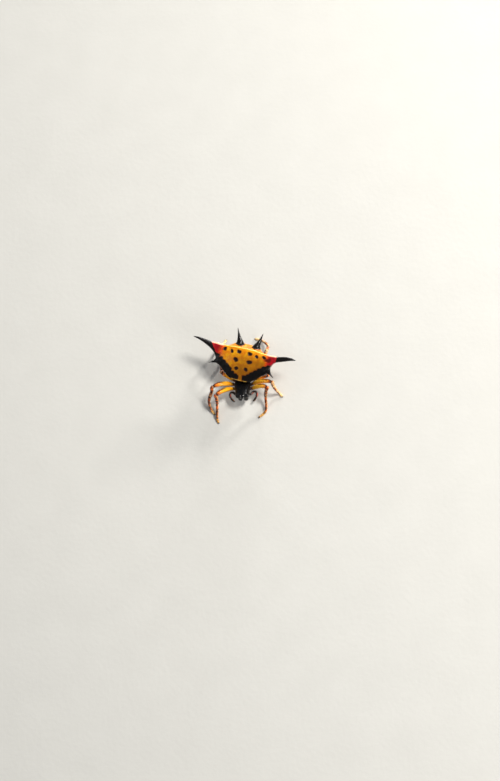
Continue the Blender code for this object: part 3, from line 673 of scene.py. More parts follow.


# The shield's gold with its painted shade, its crimson sides, the rear slope, the pale rims with their
# painted highlight, the underside and the black
GOLD, AMBER, PAINTED_SHADE_OCHRE, TAN, FLECK = "E4A008", "D47A02", "845002", "A85A04", "6A3004"
FLAME, CRIMSON, SCARLET, RUST, MAROON_PATCH = "DE520A", "850812", "AC0A1C", "842408", "440A03"
SLOPE, SLOPE_DEEP, CREASE_BROWN_AND_SHADE = "DA8E04", "CC7002", "6E2C04"
RIM_HIGHLIGHT, RIM_HIGHLIGHT_PINK, BAND_HIGHLIGHT_PINK = "F8D468", "F4BFA0", "F6C4A0"
BELLY, BELLY_PATCH, HALO = "191114", "D2920F", "5A2404"
BLACK, BLACK_BROWN, SPOT_FLOOR = "060506", "110C0A", "170504"

shell, wire = finish("abdomen_shell")
ink, blush, under, spot = (wire.field(name) for name in ("ink", "blush", "under", "spot"))
clouds, grain = wire.noise(0.9, 3.0), wire.noise(0.16, 3.0)
gold = wire.blend(GOLD, AMBER, clouds.step(0.35, 0.65))
# painted shade: a darker ochre towards the shield's front and right
gold = wire.blend(gold, PAINTED_SHADE_OCHRE, (0.35 + 0.45 * clouds) * wire.field("dusk"))
gold = wire.blend(gold, TAN, 0.45 * grain.step(0.50, 0.66))
speckles = wire.noise(0.10, 1.0).step(0.66, 0.72) * wire.noise(1.1).step(0.45, 0.6)
gold = wire.blend(gold, FLECK, 0.7 * speckles)
flame = wire.blend(gold, FLAME, blush.step(0.0, 0.36))
reds = wire.blend(CRIMSON, SCARLET, wire.noise(0.6, 2.0).step(0.36, 0.64))
crimson = wire.blend(flame, reds, blush.step(0.25, 0.8))
dusky = wire.noise(0.35, 3.0).step(0.45, 0.6) * blush.step(0.02, 0.3) * blush.step(0.8, 0.5)
crimson = wire.blend(crimson, RUST, 0.6 * dusky)
# a dark maroon patch on the left crimson side
crimson = wire.blend(crimson, MAROON_PATCH, 0.90 * wire.field("bruise").step(0.1, 1.0))
folded = wire.blend(SLOPE, SLOPE_DEEP, clouds.step(0.4, 0.6))
# the creases darken: partly the folds' own brown, partly painted shade
folded = wire.blend(folded, CREASE_BROWN_AND_SHADE, 0.9 * wire.field("crease").step(0.15, 0.75))
slope = wire.blend(crimson, folded, wire.field("slope"))
# painted highlight along the rims, pale yellow, pinker over the crimson
rim = wire.blend(RIM_HIGHLIGHT, RIM_HIGHLIGHT_PINK, blush.step(0.2, 0.8))
lined = wire.blend(slope, rim, wire.field("rim").step(0.5, 0.95) * clouds.step(0.3, 0.5))
# painted highlight band over the crimson, broken up by grain
lined = wire.blend(lined, BAND_HIGHLIGHT_PINK, 0.85 * (wire.field("glow") + 0.5 * grain).step(0.45, 1.0))
belly = wire.blend(BELLY, BELLY_PATCH, wire.noise(0.55, 1.5, 0.4).step(0.60, 0.66))
sided = wire.blend(lined, belly, under * (1 - blush.step(0.35, 0.7)))
haloed = wire.blend(sided, HALO, 0.8 * ink.step(-0.13, -0.01))
black = ink.step(-0.02, 0.03)
inked = wire.blend(wire.blend(BLACK, BLACK_BROWN, clouds), SPOT_FLOOR, spot.step(0.25, 0.6))
wax = (0.18 + 0.20 * clouds) * spot.step(0.6, 0.2) * (1 - 0.1 * black) * (1 - 0.8 * wire.field("slope"))
surface(
    wire,
    Base_Color=wire.blend(haloed, inked, black),
    Roughness=0.30 + 0.12 * grain + 0.3 * spot.step(0.2, 0.5) - 0.07 * black,
    Coat_Weight=wax,
    Coat_Roughness=0.09,
    Specular_IOR_Level=0.17,
    Normal=wire.raised(0.010 * wire.pits(0.11) + 0.010 * grain),
)

across, rings = abdomen_slices()
fields, relief = abdomen_fields(across, rings)
fields["lie"] = placed_behind(fields["lie"]) - placed_behind(0 * fields["lie"])
tubes = [{"rings": placed_behind(raised_by(rings[..., :3], relief)), "fields": fields}]
tubes += [thorn(*facts, fields) for facts in thorn_lines()]
abdomen = join_tubes("abdomen_skin", tubes, shell)
dress(abdomen, "abdomen_shell", "abdomen")

# Bristles of the abdomen. Short stiff black hairs, each a thin hollow spike of the same shell, that
# stand out of the spines and thorns and, sparser, out of the folded underside.
DARK_HAIR, BROWN_HAIR = "17100D", "3A2416"
# How far bristles stray in heading, how small the smallest is, and a bristle's patch of the unwrap
STRAY, LEAST_SIZE = 0.3, 0.55
PATCH_WIDTH, PATCH_LENGTH, PATCH_SLANT = 0.0015, 0.003, 0.0004


def bristle_tree():
    """Grows bent, tapered hairs on a skin, by its fields hairy (0 to 1) and lie (which way)."""
    tree = bpy.data.node_groups.new("bristles", "GeometryNodeTree")
    for label, kind in (
        ("Skin", "Geometry"), ("Per square metre", "Float"), ("Length", "Float"), ("Width", "Float"),
        ("Lean", "Float"), ("Curl", "Float"), ("Seed", "Int"), ("Finish", "Material"),
    ):
        tree.interface.new_socket(name=label, in_out="INPUT", socket_type="NodeSocket" + kind)
    tree.interface.new_socket(name="Bristles", in_out="OUTPUT", socket_type="NodeSocketGeometry")
    wire = Wire(tree)

    def given(label):
        return wire.node("NodeGroupInput", out=label)

    def carried(name, kind="FLOAT_VECTOR"):
        return wire.node("GeometryNodeInputNamedAttribute", {"data_type": kind}, {"Name": name})

    def vector(operation, *values, **named):
        return wire.node("ShaderNodeVectorMath", {"operation": operation}, dict(enumerate(values)) | named)

    def along(axis, arrow):
        return wire.node("ShaderNodeSeparateXYZ", sockets={0: arrow}, out=axis)

    cone = wire.node(
        "GeometryNodeMeshCone",
        {"fill_type": "NGON"},
        {"Vertices": 4, "Side Segments": 3, "Radius Top": 0.0, "Radius Bottom": given("Width"),
         "Depth": given("Length")},
        out="Mesh",
    )
    place = wire.node("GeometryNodeInputPosition")
    height = along("Z", place)
    share = wire.maths("DIVIDE", height, given("Length"))
    bend = wire.node("ShaderNodeCombineXYZ", sockets={"X": share * share * given("Curl") * given("Length")})
    bent = wire.node("GeometryNodeSetPosition", sockets={"Geometry": cone, "Offset": bend})
    aside, aback = (wire.maths("DIVIDE", along(axis, place), given("Width")) for axis in "XY")
    corner = wire.node(
        "ShaderNodeCombineXYZ",
        sockets={"X": aside * PATCH_WIDTH, "Y": share * PATCH_LENGTH + aback * PATCH_SLANT},
    )
    marked = wire.node(
        "GeometryNodeStoreNamedAttribute",
        {"data_type": "FLOAT_VECTOR", "domain": "POINT"},
        {"Geometry": bent, "Name": "patch", "Value": corner},
    )
    roots = wire.node(
        "GeometryNodeDistributePointsOnFaces",
        {"distribute_method": "RANDOM"},
        {"Mesh": given("Skin"), "Density": given("Per square metre") * carried("hairy", "FLOAT"),
         "Seed": given("Seed")},
    )
    out = Wire(tree, roots.socket.node.outputs["Normal"])
    stray = wire.node(
        "FunctionNodeRandomValue", {"data_type": "FLOAT_VECTOR"},
        {0: (-STRAY,) * 3, 1: (STRAY,) * 3, "Seed": given("Seed")},
    )
    lie = carried("lie")
    upright, lying = vector("SCALE", out, Scale=1 - given("Lean")), vector("SCALE", lie, Scale=given("Lean"))
    heading = vector("NORMALIZE", vector("ADD", vector("ADD", upright, lying), stray))
    aimed = wire.node("FunctionNodeAlignRotationToVector", {"axis": "Z"}, {"Vector": heading})
    turned = wire.node(
        "FunctionNodeAlignRotationToVector",
        {"axis": "X", "pivot_axis": "Z"},
        {"Rotation": aimed, "Vector": lie},
    )
    size = wire.node(
        "FunctionNodeRandomValue", {"data_type": "FLOAT"},
        {2: LEAST_SIZE, 3: 1.0, "Seed": given("Seed") + 7}, out=1,
    )
    sink = (along("Z", heading) - given("Curl")) * given("Length")
    clear = wire.maths("GREATER_THAN", height + sink, given("Width"))
    grown = wire.node(
        "GeometryNodeInstanceOnPoints",
        sockets={"Points": roots, "Selection": clear, "Instance": marked, "Rotation": turned, "Scale": size},
    )
    real = wire.node("GeometryNodeRealizeInstances", sockets={"Geometry": grown})
    mapped = wire.node(
        "GeometryNodeStoreNamedAttribute",
        {"data_type": "FLOAT2", "domain": "CORNER"},
        {"Geometry": real, "Name": "OFBake", "Value": vector("ADD", carried("unwrap"), carried("patch"))},
    )
    coated = wire.node("GeometryNodeSetMaterial", sockets={"Geometry": mapped, "Material": given("Finish")})
    wire.node("NodeGroupOutput", sockets={"Bristles": coated})
    return tree


BRISTLES = bristle_tree()


def grow(name, skin, slot_name, coat, per_mm2, length, width, lean=0.5, curl=0.25, seed=1):
    """Bristles on a skin, as one plain mesh. Lengths are in millimetres."""
    grower = skin.modifiers.new("grow", "NODES")
    grower.node_group = BRISTLES
    amounts = {
        "Per square metre": per_mm2 / MM**2, "Length": length * MM, "Width": width * MM,
        "Lean": lean, "Curl": curl, "Seed": seed, "Finish": coat,
    }
    for item in BRISTLES.interface.items_tree:
        if item.name in amounts:
            grower[item.identifier] = amounts[item.name]
    bpy.context.view_layer.update()
    mesh = bpy.data.meshes.new_from_object(skin.evaluated_get(bpy.context.evaluated_depsgraph_get()))
    skin.modifiers.remove(grower)
    mesh.name = name
    for spare in ("patch", "lie", "hairy", "unwrap"):
        if spare in mesh.attributes:
            mesh.attributes.remove(mesh.attributes[spare])
    dress(added(name, mesh), slot_name)


dark_bristle, wire = finish("dark_bristle")
surface(
    wire,
    Base_Color=wire.blend(DARK_HAIR, BROWN_HAIR, wire.noise(0.5)),
    Roughness=0.35 + 0.15 * wire.noise(0.3),
)
grow(
    "abdomen_bristles", abdomen, "abdomen_shell", dark_bristle,
    per_mm2=14, length=0.13, width=0.009, lean=0.4, seed=3,
)

# Spinnerets. At the end of the belly cone a dark folded collar of soft skin holds two pairs of short
# blunt tubes that draw silk, a small pair between them, and a knob behind.
COLLAR_TOP, COLLAR_FOOT = BELLY_END + 0.06, 1.155
# Each tube: across and back from the collar's middle, radius, length, and how far its tip leans
SPIN_TUBES = (
    (0.17, -0.19, 0.155, 0.50, (0.02, 0.05)), (0.20, 0.17, 0.145, 0.52, (0.0, -0.06)),
    (0.07, 0.02, 0.06, 0.34, (0.0, 0.0)),
)
KNOB = (0.0, 0.42, 0.15, 0.26, (0.0, 0.05))
COLLAR_STEPS, COLLAR_SIDES, SPIN_STEPS, SPIN_SIDES = 40, 56, 26, 20
FOLD_HEIGHT, FOLD_RATE = 0.014, 26
FOLD_BROWN, FOLD_DARK, SPIN_TIP = "2B170E", "150C09", "7A4A22"


def spin_tube(side, x, y, radius, length, lean):
    """One blunt tube below the collar, leaning a little, on the right (-1) or the left (1)."""
    t = np.linspace(0, 1, SPIN_STEPS)[:, None]
    root = np.array((side * x + BELLY_AT[0], y + BELLY_AT[1], COLLAR_FOOT + 0.2))
    path = placed_behind(root + t * (-side * lean[0], lean[1], -length))
    size = through(
        (0, radius), (0.45, radius * 1.04), (0.6, radius * 0.84), (0.85, radius * 0.66), (1, 0.02)
    )
    rings = tube(path, size(t[:, 0]) * (1 - 0.10 * hump(t[:, 0] - 0.56, 0.04)), SPIN_SIDES)
    lie = unit(np.gradient(rings, axis=0))
    return {"rings": rings, "fields": {"along": t, "hairy": smoothstep(0.3, 0.5, t), "lie": lie}}


spin_skin, wire = finish("spinneret_skin")
folds = wire.noise(0.22, 3.0)
surface(
    wire,
    Base_Color=wire.blend(
        wire.blend(FOLD_BROWN, FOLD_DARK, folds), SPIN_TIP, wire.field("along").step(0.6, 1.0)
    ),
    Roughness=0.5 + 0.2 * folds,
    Normal=wire.raised(0.02 * folds),
)
t = np.linspace(0, 1, COLLAR_STEPS)
collar_size = through((0, 0.50), (0.4, 0.54), (0.75, 0.56), (0.93, 0.47), (1, 0.30))
middle = np.stack((0 * t, 0 * t + BELLY_AT[1], mix(COLLAR_TOP, COLLAR_FOOT, t)), axis=1)
folded_size = collar_size(t) + FOLD_HEIGHT * np.sin(t * FOLD_RATE)
collar = tube(placed_behind(middle), folded_size, COLLAR_SIDES)
down = np.broadcast_to((0.0, 0.0, -1.0), collar.shape)
fields = {"along": 0 * t[:, None], "hairy": smoothstep(0.3, 0.9, t)[:, None], "lie": down}
tubes = [{"rings": collar, "fields": fields}]
tubes += [spin_tube(side, *facts) for facts in SPIN_TUBES for side in (-1, 1)] + [spin_tube(1, *KNOB)]
spinnerets = join_tubes("spinneret_tubes", tubes, spin_skin)
dress(spinnerets, "spinnerets", "spinnerets")
grow(
    "spinneret_hairs", spinnerets, "spinnerets", dark_bristle,
    per_mm2=120, length=0.16, width=0.007, lean=0.6, seed=5,
)

# Front body. The carapace, a tall glossy black shell with its head end raised and a furrow behind the
# head, is one piece with the narrow core below it, to whose sides the legs are hinged.
CARAPACE_FRONT, CARAPACE_BACK, CARAPACE_RIM_HEIGHT, END_DOME = -1.42, 2.48, 2.50, 0.05
CORE_HALF_WIDTH, CORE_HALF_LENGTH, CORE_MIDDLE_Y, CORE_TOP = 0.84, 1.42, 1.08, 2.22
BACK_OF_FACE = -0.46
CARAPACE_STEPS, OVER_POINTS, UNDER_POINTS, DOME_STEPS = 190, 110, 91, 7
EASED_ALONG, EASED_AROUND = 8, 4
LOBE_STEPS, LOBE_SIDES = 24, 22
FURROW_DEPTH, RAY_DEPTH, PIT_DEPTH, EYE_MOUND = 0.024, 0.02, 0.07, 0.05
# Where the rays of the carapace run, as angles back from straight out
RAYS = (-0.1, -0.55, -1.0)
JET, JET_BROWN, PALE_HAIR, DUSKY_HAIR = "050609", "0F0C0A", "7E6B50", "33281C"
carapace_half_width = through(
    (-1.42, 0.55), (-1.30, 0.92), (-1.05, 1.14), (-0.60, 1.22), (-0.10, 1.24), (0.40, 1.35),
    (0.95, 1.40), (1.40, 1.34), (1.85, 1.10), (2.22, 0.76), (2.48, 0.42),
)
carapace_top = through(
    (-1.42, 3.02), (-1.30, 3.25), (-1.05, 3.45), (-0.60, 3.55), (-0.10, 3.50), (0.40, 3.34),
    (0.80, 3.16), (1.30, 2.92), (1.75, 2.74), (2.20, 2.56), (2.48, 2.42),
)
carapace_under = through(
    (-1.42, 2.70), (-1.05, 2.52), (-0.72, 2.46), (-0.42, 1.80), (-0.15, 1.52), (0.35, 1.42),
    (1.20, 1.40), (1.90, 1.42), (2.15, 1.50), (2.32, 1.66), (2.48, 1.86),
)
# Eyes: half width across, distance forward and height of each pair, with its radius
EYES = {
    "front_middle": (0.20, -1.36, 3.13, 0.15),
    "rear_middle": (0.27, -1.10, 3.40, 0.15),
    "front_side": (0.84, -1.26, 2.94, 0.13),
    "rear_side": (0.99, -1.03, 3.14, 0.13),
}


def placed(points):
    """Points of the front body, measured from the carapace's middle, in the model's frame."""
    return np.asarray(points, float) + (*CARAPACE_AT, 0.0)


def through_points(points, count):
    """Points on a smooth curve through given ones, along the last axis but one."""
    points = np.asarray(points, float)
    before = 2 * points[..., :1, :] - points[..., 1:2, :]
    after = 2 * points[..., -1:, :] - points[..., -2:-1, :]
    knots = np.concatenate((before, points, after), axis=-2)
    at = np.linspace(0, points.shape[-2] - 1, count)
    i = np.minimum(at.astype(int), points.shape[-2] - 2)
    t = (at - i)[:, None]
    a, b, c, d = (knots[..., i + k, :] for k in range(4))
    return 0.5 * (
        2 * b + (c - a) * t + (2 * a - 5 * b + 4 * c - d) * t**2 + (3 * b - a - 3 * c + d) * t**3
    )


def carapace_rings(y):
    """The outlines of the front body at each y: over the top from rim to rim, and back below."""
    half, top, under = carapace_half_width(y), carapace_top(y), carapace_under(y)
    rim = np.minimum(CARAPACE_RIM_HEIGHT + 0.22 * smoothstep(-0.4, -1.3, y), mix(under, top, 0.75))
    core = CORE_HALF_WIDTH * np.sqrt(np.maximum(1 - ((y - CORE_MIDDLE_Y) / CORE_HALF_LENGTH) ** 2, 0.03))
    wall = np.minimum(CORE_TOP, rim - 0.12)
    roof_shares = (0.34, 0.015), (0.64, 0.10), (0.86, 0.32), (0.975, 0.65), (1, 1)
    face_shares = (0.97, 0.5), (0.86, 0.85), (0.68, 1), (0.46, 1), (0.23, 1)
    upper = [(half * w, mix(top, rim, h)) for w, h in roof_shares]
    face = [(half * w, mix(rim, under, h)) for w, h in face_shares]
    body = [
        (np.minimum(core + 0.14, half * 0.97), rim - 0.10), (core, wall), (core, mix(under, wall, 0.20)),
        (core * 0.84, mix(under, wall, 0.05)), (core * 0.45, under),
    ]
    behind = smoothstep(BACK_OF_FACE - 0.08, BACK_OF_FACE + 0.08, y)
    lower = [(mix(a[0], b[0], behind), mix(a[1], b[1], behind)) for a, b in zip(face, body)]

    def curve(side_points, middle, count):
        ordered = [(-x, z) for x, z in reversed(side_points)] + [(0 * y, middle)] + side_points
        pairs = np.array([np.broadcast_arrays(*pair) for pair in ordered])
        return through_points(np.moveaxis(pairs, -1, 0), count)

    over = curve(upper, top, OVER_POINTS)
    below = curve([*reversed(lower), upper[-1]], under, UNDER_POINTS)[:, 1:-1]
    flat = np.concatenate((over, below[:, ::-1]), axis=1)
    return np.stack((flat[..., 0], np.broadcast_to(y[:, None], flat.shape[:2]), flat[..., 1]), axis=-1)


def rounded_ends(rings):
    """Rings with more rings that close each end in a low dome."""
    turn = np.linspace(0, math.pi / 2, DOME_STEPS + 1)[1:, None, None] * 0.97
    ends = []
    for ring, step in ((rings[0], rings[0] - rings[1]), (rings[-1], rings[-1] - rings[-2])):
        middle = ring.mean(axis=0)
        along = step.mean(axis=0) / np.linalg.norm(step.mean(axis=0))
        ends.append(middle + (ring - middle) * np.cos(turn) + along * END_DOME * np.sin(turn))
    return np.concatenate((ends[0][::-1], rings, ends[1]))


rings = carapace_rings(np.linspace(CARAPACE_FRONT, CARAPACE_BACK, CARAPACE_STEPS))
rings = eased(rings, EASED_ALONG)
for _ in range(EASED_AROUND):
    rings = (np.roll(rings, 1, axis=1) + 2 * rings + np.roll(rings, -1, axis=1)) / 4
rings = rounded_ends(rings)
x, y, z = np.moveaxis(rings, -1, 0)
s = np.abs(x)
above = smoothstep(2.50, 2.70, z)
furrow = hump(s - 0.10 - 0.62 * (0.55 - y), 0.10) * smoothstep(0.6, 0.4, y) * smoothstep(-0.55, -0.2, y)
rays = sum(hump(s * math.cos(a) - (y - 0.62) * math.sin(a), 0.05) for a in RAYS)
rays = rays * smoothstep(0.15, 0.4, s) * smoothstep(1.35, 1.0, s) * smoothstep(0.3, 0.6, y)
relief = above * (-FURROW_DEPTH * furrow - RAY_DEPTH * rays)
relief -= above * PIT_DEPTH * hump(x, 0.06) * hump(y - 0.66, 0.20)
relief += 0.006 * ripple(rings, 0.5, 21) + 0.003 * ripple(rings, 0.2, 22)
for across_eye, forward, height, radius in EYES.values():
    far = np.sqrt((s - across_eye) ** 2 + (y - forward) ** 2 + (z - height) ** 2)
    relief += EYE_MOUND * smoothstep(2.2 * radius, 1.1 * radius, far)
rings = raised_by(rings, relief)
lie = np.broadcast_to((0.0, 1.0, 0.0), rings.shape)
bare = sum(hump(s - e[0], 0.2) * hump(y - e[1], 0.2) for e in EYES.values())
hairy = above * np.clip(1 - bare, 0, 1) * (0.35 + 0.65 * smoothstep(0.4, 1.2, s)) * smoothstep(2.4, 2.1, y)
hairy += 0.5 * smoothstep(1.7, 1.45, z)
fields = {"lie": lie, "hairy": hairy, "above": above}
tubes = [{"rings": placed(rings), "fields": fields}]
lobe_size = through((0, 0.2), (0.5, 0.24), (0.85, 0.18), (1, 0.04))(np.linspace(0, 1, LOBE_STEPS))
for side in (-1, 1):
    route = ((side * 0.26, -0.50, 1.95), (side * 0.30, -0.66, 1.66), (side * 0.24, -0.80, 1.42))
    lobe = tube(through_points(placed(route), LOBE_STEPS), lobe_size, LOBE_SIDES)
    down = np.broadcast_to((0.0, -0.4, -0.9), lobe.shape)
    tubes.append({"rings": lobe, "fields": {"lie": down, "hairy": 1.0, "above": 0.0}})

carapace_shell, wire = finish("carapace_shell")
grain = wire.noise(0.12, 3.0)
surface(
    wire,
    Base_Color=wire.blend(JET, JET_BROWN, wire.noise(0.7, 2.0).step(0.45, 0.75)),
    Roughness=0.30 + 0.10 * grain,
    Coat_Weight=0.14 + 0.12 * wire.noise(0.6),
    Coat_Roughness=0.10,
    Specular_IOR_Level=0.14,
    Normal=wire.raised(0.003 * grain + 0.003 * wire.pits(0.10)),
)
carapace = join_tubes("carapace_skin", tubes, carapace_shell)
dress(carapace, "carapace_shell", "cephalothorax")
pale_hair, wire = finish("pale_hair")
surface(
    wire,
    Base_Color=wire.blend(PALE_HAIR, DUSKY_HAIR, wire.noise(0.3)),
    Roughness=0.45 + 0.15 * wire.noise(0.2),
)
grow(
    "carapace_hairs", carapace, "carapace_shell", pale_hair,
    per_mm2=18, length=0.13, width=0.005, lean=0.75, curl=0.3, seed=9,
)

# Eyes. Eight smooth domed lenses of clear hard shell over dark cups, in two rows of four across the
# face: two middle pairs on a low mound, and a close pair at each side.
HEAD_MIDDLE, LENS_STEPS, LENS_SIDES = (0, -0.55, 2.85), 26, 30
LENS_BULGE, POLE_GAP = 0.05, 0.04
LENS_AMBER = "241008"


def eye_lens(side, x, y, z, radius):
    """A lens that bulges away from the head's middle."""
    centre = np.array((side * x, y, z))
    out = centre - HEAD_MIDDLE
    out /= np.linalg.norm(out)
    turn = np.linspace(POLE_GAP, math.pi - POLE_GAP, LENS_STEPS)
    bulge = radius * (1 + LENS_BULGE * np.clip(np.cos(turn), 0, 1) ** 2)
    path = centre + out * (np.cos(turn) * bulge)[:, None]
    rings = tube(path, np.sin(turn) * bulge, LENS_SIDES)
    return {"rings": placed(rings), "fields": {"along": turn[:, None]}}


lens_shell, wire = finish("eye_lens")
surface(
    wire,
    Base_Color=wire.blend(LENS_AMBER, BLACK, wire.field("along").step(0.2, 1.2)),
    Roughness=0.05 + 0.03 * wire.noise(0.1),
    Coat_Weight=1.0,
    Coat_Roughness=0.03,
)
lenses = [eye_lens(side, *facts) for facts in EYES.values() for side in (-1, 1)]
eyes = join_tubes("eye_lenses", lenses, lens_shell)
dress(eyes, "eye", *(f"eye_{pair}_{side}" for pair in EYES for side in ("left", "right")))

# Jaws. Two stout upright black drops, hinged side by side under the face, each with a curved dark red
# fang that folds inward at its foot.
JAW_OUT, JAW_STEPS, JAW_SIDES, FANG_STEPS, FANG_SIDES = 0.46, 60, 44, 30, 18
# Each route: share of the way out to the jaw's middle, distance forward and height
JAW_ROUTE = ((0.9, -0.96, 2.66), (1, -1.08, 2.2), (1, -1.14, 1.75), (1, -1.13, 1.35), (0.97, -1.06, 1.0))
FANG_ROUTE = ((1.25, -1.05, 1.12), (1.1, -1.03, 0.92), (0.75, -0.93, 0.81), (0.4, -0.84, 0.84))
JAW_BLACK, JAW_FOOT, HORN_RED, HORN_TIP = "070607", "2E1009", "4A140A", "120707"
jaw_size = through(
    (0, 0.26), (0.25, 0.34), (0.45, 0.37), (0.65, 0.37), (0.82, 0.31), (0.94, 0.22), (1, 0.10)
)
fang_size = through((0, 0.12), (0.3, 0.11), (0.6, 0.075), (1, 0.012))


def run_along(path):
    """How far along a path each of its points is."""
    return np.concatenate(([0], np.cumsum(np.linalg.norm(np.diff(path, axis=0), axis=1))))


def along_tube(points, sizes, steps, sides):
    """A tube along a curve through points, with the fields that hair and colour go by."""
    path = through_points(points, steps * 4)
    run = run_along(path)
    even = np.linspace(0, run[-1], steps)
    path = np.stack([np.interp(even, run, path[:, k]) for k in range(3)], axis=1)
    share = np.linspace(0, 1, steps)
    made = tube(path, sizes(share), sides)
    lie = np.broadcast_to(unit(np.gradient(path, axis=0))[:, None], made.shape)
    return {"rings": made, "fields": {"along": share[:, None], "hairy": 1.0, "lie": lie}}


def paired(route, sizes, steps, sides):
    """A right and a left tube along a route."""
    sided = [np.array(route) * (side * JAW_OUT, 1, 1) for side in (-1, 1)]
    return [along_tube(placed(points), sizes, steps, sides) for points in sided]


jaw_shell, wire = finish("jaw_shell")
grain = wire.noise(0.1, 3.0)
surface(
    wire,
    Base_Color=wire.blend(JAW_BLACK, JAW_FOOT, wire.field("along").step(0.75, 1.0)),
    Roughness=0.30 + 0.12 * grain,
    Coat_Weight=0.06 + 0.08 * grain,
    Coat_Roughness=0.12,
    Specular_IOR_Level=0.10,
    Normal=wire.raised(0.006 * grain),
)
jaw_pair = join_tubes("jaws", paired(JAW_ROUTE, jaw_size, JAW_STEPS, JAW_SIDES), jaw_shell)
dress(jaw_pair, "jaw_shell", "chelicera_left", "chelicera_right")
grow(
    "jaw_hairs", jaw_pair, "jaw_shell", dark_bristle,
    per_mm2=20, length=0.18, width=0.007, lean=0.6, seed=12,
)
claw_horn, wire = finish("claw_horn")
surface(
    wire,
    Base_Color=wire.blend(HORN_RED, HORN_TIP, wire.field("along").step(0.2, 0.9)),
    Roughness=0.15 + 0.1 * wire.noise(0.1),
)
fangs = join_tubes("fangs", paired(FANG_ROUTE, fang_size, FANG_STEPS, FANG_SIDES), claw_horn)
dress(fangs, "jaw_shell")

# Feelers. One at each side of the mouth, like a short leg of five slender segments, nearly black with
# orange-red on the left, hinged to the front of the core and bent round the jaws.
PALP_ANGLE = math.radians(-56)
PALP_STEPS, PALP_SIDES = 170, 26
PALP_BLACK = "140906"
# The joints between the segments, and the colours of its left side, by share of a feeler's length
PALP_JOINTS = (0.10, 0.22, 0.46, 0.56, 0.74)
PALP_RINGS = (
    (0, "2A120A"), (0.2, "3A170B"), (0.3, "A8400F"), (0.42, "C0500F"), (0.47, "2A0E07"), (0.56, "2A0E07"),
    (0.62, "B5430F"), (0.7, "AE3C10"), (0.75, "260D07"), (0.82, "5A1E0C"), (0.93, "D98A3A"), (1, "2A120A"),
)
PALP_ROUTE = (
    (1.22, -0.42, 1.62), (1.72, 0.02, 1.50), (2.12, 0.05, 1.50), (2.30, -0.34, 1.50), (2.20, -0.84, 1.35),
    (1.88, -1.26, 1.10), (1.50, -1.48, 0.90),
)
palp_size = through(
    (0, 0.16), (0.08, 0.19), (0.16, 0.18), (0.3, 0.2), (0.44, 0.2), (0.5, 0.17), (0.58, 0.2),
    (0.7, 0.19), (0.76, 0.17), (0.86, 0.18), (0.95, 0.14), (1, 0.04),
)


def palp_sizes(share):
    """The radius along a feeler, drawn in at each joint and swelling a little before it."""
    past = [share - at for at in PALP_JOINTS]
    drawn_in = sum(0.22 * hump(p, 0.008) - 0.05 * hump(p + 0.025, 0.015) for p in past)
    return palp_size(share) * (1 - drawn_in)


palps = []
root_x = CORE_HALF_WIDTH * math.cos(PALP_ANGLE)
root_y = CORE_MIDDLE_Y + CORE_HALF_LENGTH * math.sin(PALP_ANGLE)
hinge = ((root_x - 0.1, root_y + 0.08, 1.76), (root_x + 0.23, root_y - 0.2, 1.72))
for side in (-1, 1):
    route = placed(np.array((*hinge, *PALP_ROUTE)) * (side, 1, 1))
    palp = along_tube(route, palp_sizes, PALP_STEPS, PALP_SIDES)
    spread = palp["rings"] - palp["rings"].mean(axis=1, keepdims=True)
    palp["fields"]["leftward"] = spread[..., 0] / np.linalg.norm(spread, axis=-1)
    palps.append(palp)
palp_shell, wire = finish("palp_shell")
along, cloud = wire.field("along"), wire.noise(0.35, 3.0)
ringed = wire.node("ShaderNodeValToRGB", {"stops": PALP_RINGS}, {"Fac": along + 0.03 * (cloud - 0.5)})
leftward = (wire.field("leftward") + 0.8 * wire.noise(0.28, 2.0)).step(0.62, 1.05)
surface(
    wire,
    Base_Color=wire.blend(PALP_BLACK, ringed, leftward * along.step(0.22, 0.40)),
    Roughness=0.34 + 0.12 * cloud,
    Coat_Weight=0.15 + 0.1 * cloud,
    Coat_Roughness=0.2,
    Normal=wire.raised(0.008 * wire.noise(0.08, 2.0)),
)
palp_pair = join_tubes("palps", palps, palp_shell)
dress(palp_pair, "palp_shell", "palp_left", "palp_right")
grow(
    "palp_bristles", palp_pair, "palp_shell", dark_bristle,
    per_mm2=42, length=0.24, width=0.008, lean=0.55, seed=14,
)

# Legs. Eight jointed tubes of thin shell, each of hip, thigh, knee, shin, and a two-part foot, yellow
# to the knee and rust beyond it, with a dark ring at each soft joint, and pale feet.
COXA_LENGTH, COXA_RISE, SHIN_SHARE, SHIN_ARCH = 0.72, 0.10, 0.36, 0.18
FOOT_HEIGHT, TOE_HEIGHT, TOE_TIP, TIP_HEIGHT = 0.42, 0.10, 0.6, 0.05
ROOT_ANGLE = {1: -22, 2: 2, 3: 25, 4: 51}
ROOT_HEADING = {1: 6, 2: 18, 3: 36, 4: 56}
ROOT_HEIGHT, ROOT_GAP, ROOT_SUNK, ROOT_RADIUS = 1.84, 0.3, 0.6, 0.24
FEMUR_ARCH = {1: (0.0, 0.15, 0.36), 2: (0.0, 0.15, 0.36), 3: (0.0, 0.0, 0.16), 4: (0.0, 0.0, 0.12)}
